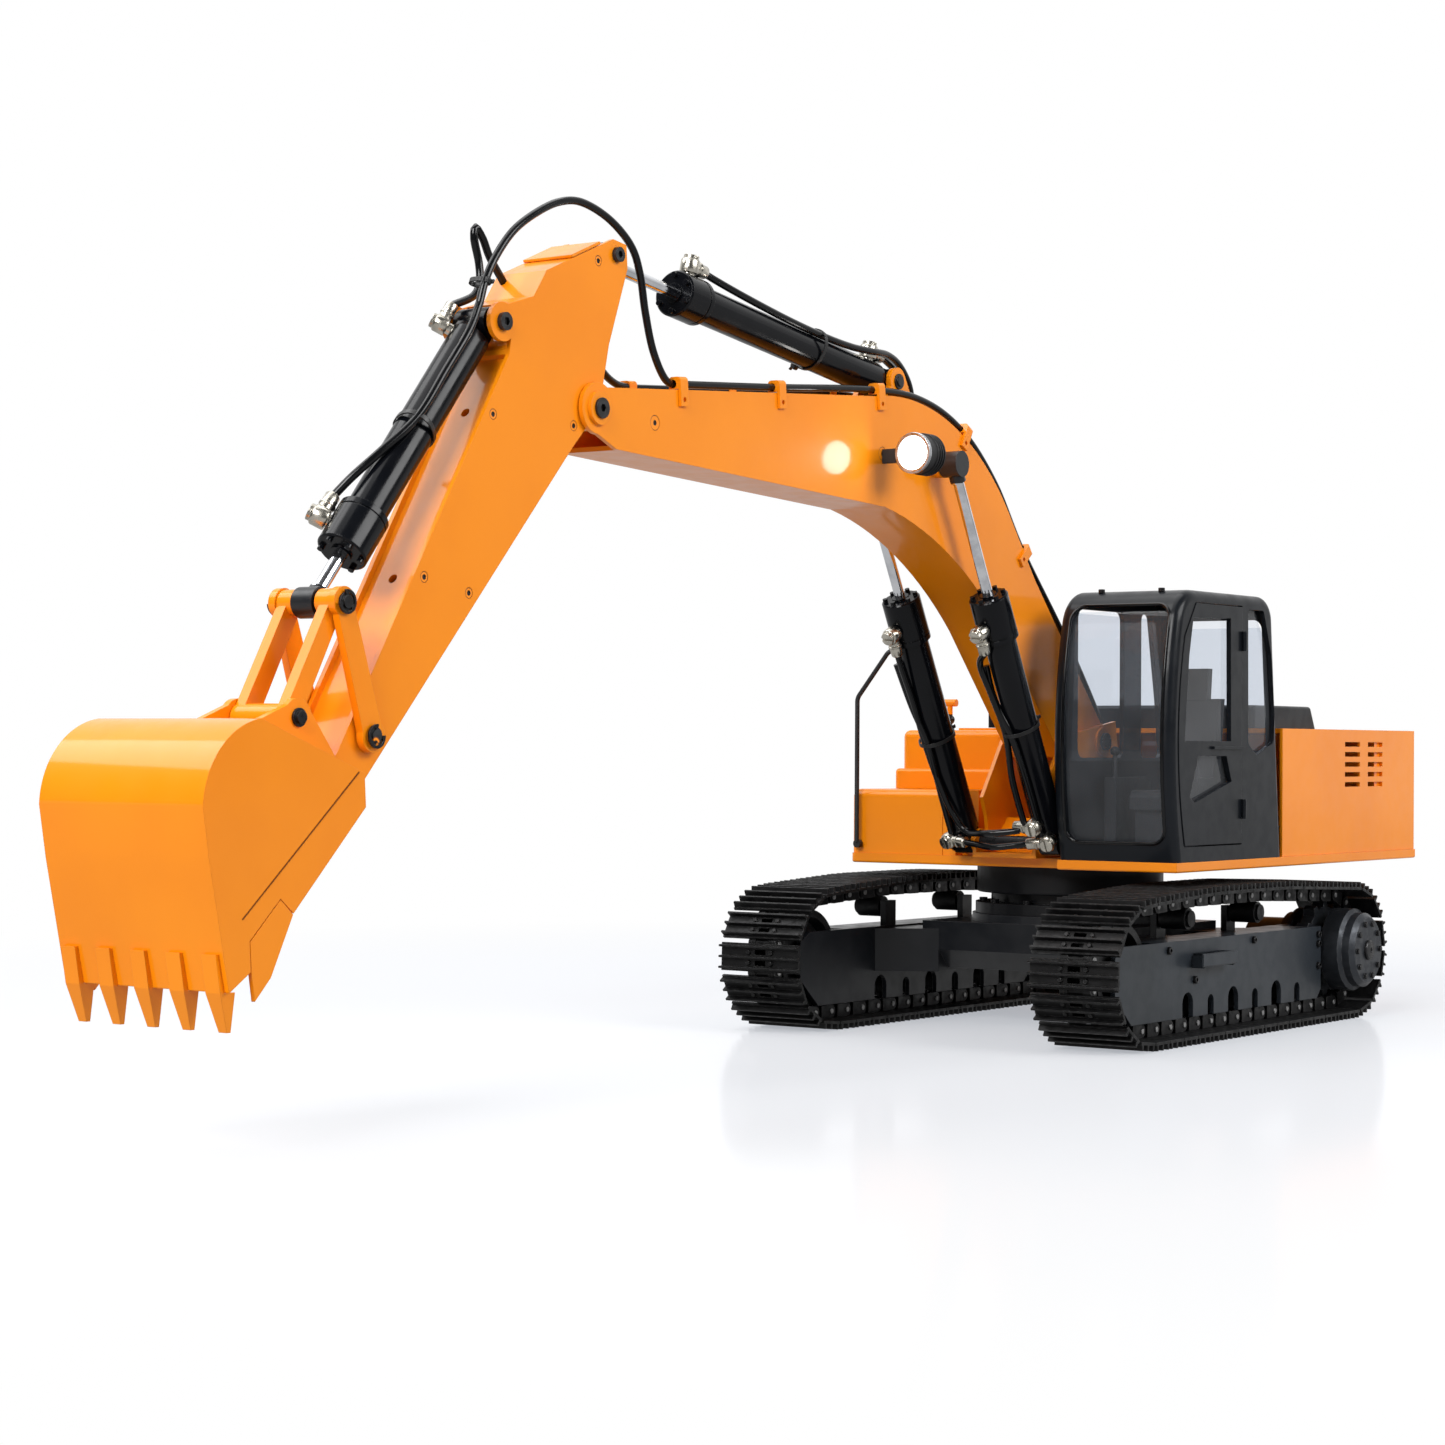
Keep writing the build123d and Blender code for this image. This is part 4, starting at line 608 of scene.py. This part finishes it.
def e_clip(name, body, centre, y, radius, gap_angle):
    """Retaining clip: a flat open ring with three lugs inwards, on the outside of a pin."""
    thickness, half_gap, steps = 0.9, math.radians(38), 30
    lugs = (0, 1, 2, 14, 15, 16, 28, 29, 30)
    bm = bmesh.new()
    out = Vector((0, 1 if y > 0 else -1, 0))
    at = frame_at((centre[0], y, centre[1]), out, (math.cos(gap_angle), 0, math.sin(gap_angle)))
    turns = [half_gap + (2 * math.pi - 2 * half_gap) * i / steps for i in range(steps + 1)]
    outer = [(radius * math.cos(t), radius * math.sin(t)) for t in turns]
    inner = []
    for i, t in enumerate(turns):
        reach = radius * (0.6 if i in lugs else 0.76)
        inner.append((reach * math.cos(t), reach * math.sin(t)))
    outline = outer + inner[::-1]
    bottom, top = (
        [bm.verts.new(at @ (Vector((*p, height)) * MM)) for p in outline] for height in (0.0, thickness)
    )
    count = len(bottom)
    for i in range(count):
        j = (i + 1) % count
        bm.faces.new((bottom[i], bottom[j], top[j], top[i]))
    for i in range(steps):
        j = count - 1 - i
        bm.faces.new((bottom[i + 1], bottom[i], bottom[j], bottom[j - 1]))
        bm.faces.new((top[i], top[i + 1], top[j - 1], top[j]))
    finish_piece(name, bm, screw_black, body, 25)


def on_surface(node, origin, direction):
    """First point of a CAD node that a ray meets, in millimetres."""
    thing = frame["nodes"][node]
    local = thing.matrix_world.inverted()
    start = local @ (Vector(origin) * MM)
    hit, point, _, _ = thing.ray_cast(start, local.to_3x3() @ Vector(direction))
    return (thing.matrix_world @ point) / MM if hit else None


class Cylinder:
    """A hydraulic cylinder's own directions: along its barrel, to the side its ports are on, and across."""

    def __init__(self, name, y=0.0, hand=1):
        self.body = f"{name}_cylinder_barrel"
        self.base = pivot(f"{name}_cylinder_hinge") / MM
        self.base.y = y
        self.axis = Vector(JOINTS[f"{name}_cylinder_slide"]["axis"]).normalized()
        self.front = Vector((-self.axis.z, 0, self.axis.x)) * hand

    def point(self, along, front, across=0.0):
        return self.base + self.axis * along + self.front * front + Vector((0, across, 0))

    def path(self, *places):
        """Points from (along, front, across) triples."""
        return [self.point(*place) for place in places]

    def way(self, front, across):
        """A direction square to the barrel."""
        return self.front * front + Vector((0, across, 0))


# ---------------------------------------------------------------- hoses and fittings
bpy.context.view_layer.update()
left_boom = Cylinder("left_boom", 30.5, -1)
right_boom = Cylinder("right_boom", -30.5, -1)
arm_cyl = Cylinder("arm")
bucket_cyl = Cylinder("bucket")

# boom cylinders: a port on each cap with hoses down the barrel, ports at the feet and a hose between these
PORT_ALONG, PORT_OUT = 151, 11.4
left_port, right_port = (
    banjo(f"{side}_boom_port", cylinder.body, cylinder.point(PORT_ALONG, PORT_OUT, -1.5),
          cylinder.way(1.0, -0.12), -cylinder.axis)
    for side, cylinder in (("left", left_boom), ("right", right_boom))
)
hose("left_boom_hose", [
    left_port,
    *left_boom.path((128, 11.6, -10.4), (106, 9.4, -9.4), (81, 10.8, -6.0), (52, 12.6, -8.5),
        (30, 13.6, -8.0), (16, 15.0, -6.5)),
], left_boom.body)
hose("left_boom_hose_2", [
    *left_boom.path((124, 4.0, -11.4), (104, 7.0, -10.0), (81, 11.6, -2.0), (50, 11.9, 0.5),
        (22, 11.8, 1.0), (9, 11.0, 1.5)),
], left_boom.body)
hose("right_boom_hose", [
    right_port,
    *right_boom.path((126, 14.0, -3.0), (104, 11.6, -3.4), (74, 11.2, -3.2), (45, 12.4, 0.0),
        (26, 15.0, 6.0), (17, 17.5, 14.0)),
    (107, 0, 121.5),
    (103, 14, 122.5),
    (100, 20, 123.5),
], right_boom.body)
hose("right_boom_hose_2", [
    *right_boom.path((128, 8.5, -9.8), (100, 10.6, -5.8), (74, 11.6, -1.0), (40, 11.8, -1.5),
        (12, 11.2, -2.0)),
], right_boom.body)
strap("left_boom_tie", left_boom, 81, 9.9, (3.4, -1.2))
strap("right_boom_tie", right_boom, 74, 9.9, (3.4, -0.9))
left_foot, right_foot = (
    banjo(f"{side}_boom_foot_port", cylinder.body, cylinder.point(7.5, 7.0, hand * 3.0),
          cylinder.way(1, hand * 0.25), (0, -hand, 0))
    for side, cylinder, hand in (("left", left_boom, 1), ("right", right_boom, -1))
)
banjo("left_boom_high_port", left_boom.body, left_boom.point(19, 9.0, -1.5), left_boom.way(1, 0), (0, -1, 0))
hose("foot_link_hose", [
    left_foot, left_foot + Vector((1.0, -8, -1.0)), (left_foot + right_foot) / 2 + Vector((4.5, 0, -2.5)),
    right_foot + Vector((1.0, 8, -1.0)), right_foot,
], left_boom.body)

# arm cylinder: both ports on top, hoses back into the boom
back = -arm_cyl.axis
arm_port = banjo("arm_port", arm_cyl.body, arm_cyl.point(194, 12.2, 1.5), arm_cyl.way(1, 0.12), back)
arm_foot = banjo("arm_foot_port", arm_cyl.body, arm_cyl.point(17, 9.6, 1.0), arm_cyl.way(1, 0.1), back)
hose("arm_hose", [
    arm_port,
    *arm_cyl.path((176, 15.0, 3.5), (150, 11.6, 6.5), (112, 9.0, 8.2), (75, 8.4, 8.6), (45, 9.5, 8.8),
        (22, 12.5, 8.5), (4, 15.0, 6.5), (-12, 13.0, 4.5), (-26, 5.0, 3.0), (-34, -8.0, 2.0)),
], arm_cyl.body)
hose("arm_foot_hose", [
    arm_foot,
    *arm_cyl.path((-4, 14.0, 0.0), (-18, 10.5, -1.5), (-27, 0.0, -2.0), (-31, -9.0, -2.0)),
], arm_cyl.body)
strap("arm_tie", arm_cyl, 76, 10.0, (2.6, 2.6))

# boom hoses under the clamps, over the elbow to the arm, and down to the bucket cylinder
HOSE_Y = 15.2
LOOP_Y = HOSE_Y * 0.93
CLAMPED = [
    (-17, 170), (-14, 186), (32, 238), (89.9, 293.6), (124, 333), (161.7, 360.8), (205, 374.6),
    (258.3, 376.1), (358.2, 367.5), (444, 360.5),
]
ELBOW = [
    (444, 360.5), (456, 361.5), (467, 375), (474, 394), (479, 414), (487, 427), (505, 437.5), (527, 442.5),
    (545, 440), (563, 432), (580, 421), (593, 407), (601, 394), (605, 383),
]
INNER = [(444, -HOSE_Y, 360.5), (462, -14, 361), (480, -11, 368), (497, -8, 384), (512, -7, 398)]
for side, y in (("left", HOSE_Y), ("right", -HOSE_Y)):
    hose(f"{side}_boom_run", [(x, y, z) for x, z in CLAMPED], "boom")
loop = hose("elbow_loop", [(x, LOOP_Y, z) for x, z in ELBOW])
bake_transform(loop)
inner_hose = hose("elbow_inner_hose", INNER)
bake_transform(inner_hose)
cable_tie("elbow_tie", "arm", (600.5, 11.5, 394.0), (0.38, 0, -0.92), 2.3, (0, -4.0, 0))
front_port = banjo("bucket_port", bucket_cyl.body, bucket_cyl.point(138, 8.6, -8.6),
                   bucket_cyl.way(0.72, -0.70), -bucket_cyl.axis)
run = hose("bucket_hose", [
    (605, 14.1, 383),
    *bucket_cyl.path((20, 13.2, 13.6), (44, 11.4, 11.6), (72, 9.4, 8.8), (96, 12.0, 2.4),
        (114, 13.2, -5.0)),
    front_port,
])
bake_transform(run)
foot_port = banjo("bucket_foot_port", "arm", bucket_cyl.point(11, 8.2, -7.4), bucket_cyl.way(0.74, -0.68),
                  bucket_cyl.way(0.1, 0.35) - bucket_cyl.axis, 1.1)
hose("elbow_stub", [
    foot_port, (583, -8, 391), (577.5, -9, 399), (577, -10, 408), (580, -10.5, 419), (579, -10.5, 425),
    (574, -10, 420), (569, -10, 412), (561, -9.5, 403), (552, -9, 393),
], "arm")
strap("bucket_tie", bucket_cyl, 72, 10.0, (2.8, 2.6))


# ---------------------------------------------------------------- clips, bolts and trim
def prism(name, outline, y0, y1, look, body):
    """Sheet-metal piece with an XZ outline, from y0 to y1."""
    bm = bmesh.new()
    rings(bm, [[(x, y, z) for x, z in outline] for y in (y0, y1)], Matrix.Identity(4))
    edges = list(bm.edges)
    bmesh.ops.bevel(bm, geom=edges, offset=0.25 * MM, segments=2, affect="EDGES")
    finish_piece(name, bm, look, body, 30)


def roof_screws():
    """Two cap screws near the front edge of the cab's roof."""
    low, high = (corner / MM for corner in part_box("cab_shell"))
    bm = bmesh.new()
    for y in (low.y + 20, high.y - 20):
        spot = on_surface("cab_shell", (high.x - 26, y, 400), (0, 0, -1))
        socket_head(bm, frame_at(spot, (0, 0, 1), (1, 0, 0)), 2.0, 2.2)
    finish_piece("cab_roof_screws", bm, screw_black, "house")


BUCKET_SIDE = 49.0
SEAM_SHADOW_LINE = [(725.3, 161.1), (725.8, 161.7), (797.1, 100.3), (796.6, 99.8)]
ARM_COVER = [(536, 413.7), (513, 423.6), (513.6, 425.0), (536.6, 415.1)]
prism("arm_top_cover", ARM_COVER, -15.5, 15.5, orange, "arm")
seam_shadow = painted("seam_shadow", (132, 72, 18), (120, 64, 16), 0.5, 0.0, 0.0002, gloss=0.1)
# painted shadow along the seam on each side of the bucket: a thin dark strip laid on the side face
for hand, side in ((1, "left"), (-1, "right")):
    inner_y, outer_y = hand * (BUCKET_SIDE - 0.1), hand * (BUCKET_SIDE + 0.15)
    prism(f"bucket_{side}_seam", SEAM_SHADOW_LINE, inner_y, outer_y, seam_shadow, "bucket")
roof_screws()

link_top, lever_low = pivot("link_hinge") / MM, pivot("lever_hinge") / MM
bucket_axis = pivot("bucket_hinge") / MM
for hand, side in ((1, "left"), (-1, "right")):
    e_clip(f"{side}_link_clip", "bucket_levers", (link_top.x, link_top.z), hand * 21.4, 5.6, 0.6)
    e_clip(f"{side}_lever_clip", "arm", (lever_low.x, lever_low.z), hand * 21.4, 5.6, 2.4)
    e_clip(f"{side}_bucket_clip", "arm", (bucket_axis.x, bucket_axis.z), hand * 20.9, 6.2, 3.6)
    e_clip(f"{side}_foot_clip", "house", (left_boom.base.x, left_boom.base.z), hand * 38.6, 6.4, 0.9)


def islands(bm):
    """Places of the vertices of each separate solid."""
    seen = set()
    for vert in bm.verts:
        if vert in seen:
            continue
        island, stack = [], [vert]
        seen.add(vert)
        while stack:
            v = stack.pop()
            island.append(v.co)
            for edge in v.link_edges:
                other = edge.other_vert(v)
                if other not in seen:
                    seen.add(other)
                    stack.append(other)
        yield island


def shoe_bolts():
    """Four bolts on the inner side of every track shoe, found from the shoes' own solids."""
    along_step, across_step, plate_thickness = 3.3 * MM, 8.2 * MM, 1.9 * MM
    source = frame["nodes"]["track_shoes"]
    bm = bmesh.new()
    bm.from_mesh(source.data)
    bm.transform(source.matrix_world)
    bmesh.ops.remove_doubles(bm, verts=bm.verts, dist=1e-6)
    made = bmesh.new()
    rear, front = pivot("left_sprocket_spin"), pivot("left_idler_spin")
    for island in islands(bm):
        centre = sum(island, Vector()) / len(island)
        # lean of the plate: the direction in which its points spread most, seen from the side
        flat = [(c.x - centre.x, c.z - centre.z) for c in island]
        xx = sum(x * x for x, z in flat)
        zz = sum(z * z for x, z in flat)
        xz = sum(x * z for x, z in flat)
        lean = 0.5 * math.atan2(2 * xz, xx - zz)
        along = Vector((math.cos(lean), 0, math.sin(lean)))
        inside = Vector((min(max(centre.x, rear.x), front.x), centre.y, rear.z))
        out = Vector((-along.z, 0, along.x))
        if out.dot(centre - inside) < 0:
            out = -out
        low = min((c - centre).dot(out) for c in island)
        for step in (-1, 1):
            for hand in (-1, 1):
                across = Vector((0, hand * across_step, 0))
                place = centre + along * step * along_step + across + out * (low + plate_thickness)
                hex_head(made, frame_at(place / MM, out, along), 1.5, 1.3)
    bm.free()
    finish_piece("shoe_bolts", made, link_black, "undercarriage", 25)


def hub_bolts(side, hand):
    """Bolts and centre plug on the outer face of a sprocket hub."""
    count, bolt_circle, face_offset = 10, 17.5, 34.0
    bm = bmesh.new()
    hub = pivot(f"{side}_sprocket_spin") / MM
    face = hub.y + hand * face_offset
    for i in range(count):
        turn = 2 * math.pi * i / count
        spot = (hub.x + bolt_circle * math.cos(turn), face, hub.z + bolt_circle * math.sin(turn))
        hex_head(bm, frame_at(spot, (0, hand, 0)), 1.9, 1.6)
    plug = [(6.5, -0.3), (6.5, 1.2), (5.8, 1.8), (2.0, 2.0), (1.6, 1.4)]
    lathe(bm, plug, frame_at((hub.x, face, hub.z), (0, hand, 0)))
    finish_piece(f"{side}_hub_bolts", bm, screw_black, f"{side}_sprocket", 25)


def step(side, hand):
    """Step on the outside of a track frame: two brackets, a rail and grip bars."""
    frame_side, bracket_xs, grip_count, grip_pitch = 122.0, (32, 71), 9, 4.5
    bm = bmesh.new()

    def bar(x, offset, z, size, edge):
        place = Vector((x, hand * (frame_side + offset), z))
        rounded_box(bm, Matrix.Translation(place * MM), size, edge)

    for x in bracket_xs:
        bar(x, 4.3, 47, (2.2, 8.8, 7.5), 0.4)
    bar(51.5, 8.4, 48, (47, 1.6, 8.0), 0.5)
    for i in range(grip_count):
        bar(33.5 + grip_pitch * i, 4.3, 51.4, (1.6, 8.4, 1.2), 0.3)
    finish_piece(f"{side}_step", bm, frame_black, "undercarriage", 30)


def windscreen_seal():
    """Rubber bead laid on the cab shell round the windscreen."""
    middle_y, middle_z, half_y, half_z, corner = 81.5, 188.5, 33.4, 71.4, 9.0
    from_front, bead, spacing = 200, 1.1, 6
    seal = []
    for cy, cz, start in ((1, 1, 0), (-1, 1, 90), (-1, -1, 180), (1, -1, 270)):
        for angle in range(0, 91, 15):
            turn = math.radians(start + angle)
            y = middle_y + cy * (half_y - corner) + corner * math.cos(turn)
            z = middle_z + cz * (half_z - corner) + corner * math.sin(turn)
            seal.append(on_surface("cab_shell", (from_front, y, z), (-1, 0, 0)))
    dense = []
    for a, b in zip(seal, seal[1:] + seal[:1]):
        count = max(1, int((b - a).length / spacing))
        for i in range(count):
            p = a.lerp(b, i / count)
            dense.append(on_surface("cab_shell", (from_front, p.y, p.z), (-1, 0, 0)) or p)
    bm = bmesh.new()
    sweep(bm, dense, bead, 10, closed=True)
    finish_piece("windscreen_seal", bm, hose_rubber, "house", 60)


def lamp_trim():
    """Cooling ribs on the lamp's body and a bezel round its glass."""
    centre = sum(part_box("lamp_lens"), Vector()) / 2 / MM
    bm = bmesh.new()
    for i in range(4):
        at = frame_at(centre + Vector((-8.0 - 2.3 * i, 0, 0)), (1, 0, 0))
        lathe(bm, [(9.0, 0), (11.7, 0.1), (11.9, 0.5), (11.7, 0.9), (9.0, 1.0)], at, 40)
    finish_piece("lamp_ribs", bm, black_plastic, "boom", 30)
    bm = bmesh.new()
    section = [(9.5, -1.5), (11.4, -1.5), (11.6, -1.0), (11.6, 0.6), (11.2, 1.0), (9.6, 1.0), (9.4, 0.6)]
    at = frame_at(centre + Vector((1.2, 0, 0)), (1, 0, 0))
    rings(bm, [circle(r, h, 40) for r, h in section], at, closed=True)
    finish_piece("lamp_bezel", bm, alloy, "boom", 30)


shoe_bolts()
for side, hand in (("left", 1), ("right", -1)):
    hub_bolts(side, hand)
    step(side, hand)
windscreen_seal()
lamp_trim()


# ---------------------------------------------------------------- floor, light and camera
def floor_look():
    """Pale floor with a faint mirror image, fading into the white background."""
    look = Look("floor", (255, 255, 255), 0.5)

    def blend(factor, first, second):
        mixer = look.node("ShaderNodeMixShader")
        if isinstance(factor, float):
            mixer.inputs["Fac"].default_value = factor
        else:
            look.join(factor, mixer.inputs["Fac"])
        look.join(first, mixer.inputs[1])
        look.join(second, mixer.inputs[2])
        return mixer.outputs["Shader"]

    white = look.node("ShaderNodeEmission")
    mirror = look.node("ShaderNodeBsdfGlossy")
    look.join(look.span(look.noise(0.3), 0.10, 0.14), mirror.inputs["Roughness"])
    matt = look.node("ShaderNodeBsdfDiffuse")
    matt.inputs["Color"].default_value = (1, 1, 1, 1)
    pale = look.node("ShaderNodeEmission")
    pale.inputs["Color"].default_value = (*linear((228, 232, 240)), 1.0)
    near = blend(0.24, blend(0.30, pale.outputs["Emission"], mirror.outputs["BSDF"]), matt.outputs["BSDF"])
    distance = look.node("ShaderNodeVectorMath", operation="LENGTH")
    look.join(look.place, distance.inputs[0])
    seen = blend(look.span(distance.outputs["Value"], 0.0, 1.0, 0.45, 1.2), near, white.outputs["Emission"])
    # light that the floor throws back on to the machine
    bounce = look.node("ShaderNodeEmission")
    bounce.inputs["Strength"].default_value = 0.55
    rays = look.node("ShaderNodeLightPath")
    whole = blend(rays.outputs["Is Camera Ray"], bounce.outputs["Emission"], seen)
    look.join(whole, look.tree.nodes["Material Output"].inputs["Surface"])
    return look


FLOOR_HALF = 6.0
FLOOR_DROP = 0.0002                # keeps the floor clear of the grousers' faces
corners = [(x * FLOOR_HALF, y * FLOOR_HALF, 0) for x, y in ((-1, -1), (1, -1), (1, 1), (-1, 1))]
floor_mesh = bpy.data.meshes.new("floor")
floor_mesh.from_pydata(corners, [], [(0, 1, 2, 3)])
floor_mesh.materials.append(floor_look().material)
floor = bpy.data.objects.new("floor", floor_mesh)
floor.location.z = -FLOOR_DROP
bpy.context.scene.collection.objects.link(floor)

bpy.context.scene.view_settings.view_transform = "Standard"


def studio():
    """A dark room with one lit white backdrop; the camera itself sees white everywhere."""
    world = bpy.data.worlds.new("studio")
    bpy.context.scene.world = world
    world.use_nodes = True
    world.node_tree.nodes["Background"].inputs["Color"].default_value = (1, 1, 1, 1)
    backdrop_way, dark, lit = (-0.82, -0.57, 0.0), 0.11, 1.0
    nodes, links = world.node_tree.nodes, world.node_tree.links
    direction = nodes.new("ShaderNodeTexCoord").outputs["Generated"]
    facing = nodes.new("ShaderNodeVectorMath")
    facing.operation = "DOT_PRODUCT"
    facing.inputs[1].default_value = backdrop_way
    links.new(direction, facing.inputs[0])
    room = nodes.new("ShaderNodeMapRange")
    room.interpolation_type = "SMOOTHSTEP"
    for socket, number in (("From Min", -0.1), ("From Max", 0.75), ("To Min", dark), ("To Max", lit)):
        room.inputs[socket].default_value = number
    links.new(facing.outputs["Value"], room.inputs["Value"])
    rays = nodes.new("ShaderNodeLightPath")
    seen = nodes.new("ShaderNodeMath")
    seen.operation = "MAXIMUM"
    links.new(room.outputs["Result"], seen.inputs[0])
    links.new(rays.outputs["Is Camera Ray"], seen.inputs[1])
    links.new(seen.outputs["Value"], nodes["Background"].inputs["Strength"])


def softbox(name, place, target, size, power):
    """Square area light aimed at a point."""
    data = bpy.data.lights.new(name, "AREA")
    data.shape = "RECTANGLE"
    data.size, data.size_y = size
    data.energy = power
    lamp = bpy.data.objects.new(name, data)
    lamp.location = place
    lamp.rotation_euler = (Vector(target) - Vector(place)).to_track_quat("-Z", "Y").to_euler()
    bpy.context.scene.collection.objects.link(lamp)


def camera_at(place, yaw, pitch, roll, lens):
    """Camera from its place in metres, three angles in degrees and a lens in millimetres."""
    yaw, pitch, roll = (math.radians(angle) for angle in (yaw, pitch, roll))
    ahead = Vector((math.cos(yaw) * math.cos(pitch), math.sin(yaw) * math.cos(pitch), math.sin(pitch)))
    level = Vector((math.sin(yaw), -math.cos(yaw), 0))
    upright = level.cross(ahead)
    right = level * math.cos(roll) + upright * math.sin(roll)
    up = upright * math.cos(roll) - level * math.sin(roll)
    data = bpy.data.cameras.new("camera")
    data.sensor_width = 36.0
    data.lens = lens
    camera = bpy.data.objects.new("camera", data)
    camera.matrix_world = Matrix((
        (right.x, up.x, -ahead.x, place.x),
        (right.y, up.y, -ahead.y, place.y),
        (right.z, up.z, -ahead.z, place.z),
        (0, 0, 0, 1),
    ))
    bpy.context.scene.collection.objects.link(camera)
    bpy.context.scene.camera = camera


softbox("side", (-0.1, 2.3, 1.5), (0.1, 0.0, 0.2), (1.8, 1.2), 60)
softbox("front", (2.7, 0.2, 1.7), (0.4, 0.0, 0.25), (1.4, 1.4), 86)
softbox("top", (0.2, -0.4, 2.4), (0.25, 0.0, 0.2), (2.4, 1.6), 24)
softbox("sky", (1.3, -1.7, 2.4), (0.6, 0.0, 0.3), (1.7, 1.7), 31)

studio()
camera_at(Vector((1.7128, 0.9439, 0.1729)), yaw=215.39, pitch=0.47, roll=0.34, lens=75.814)
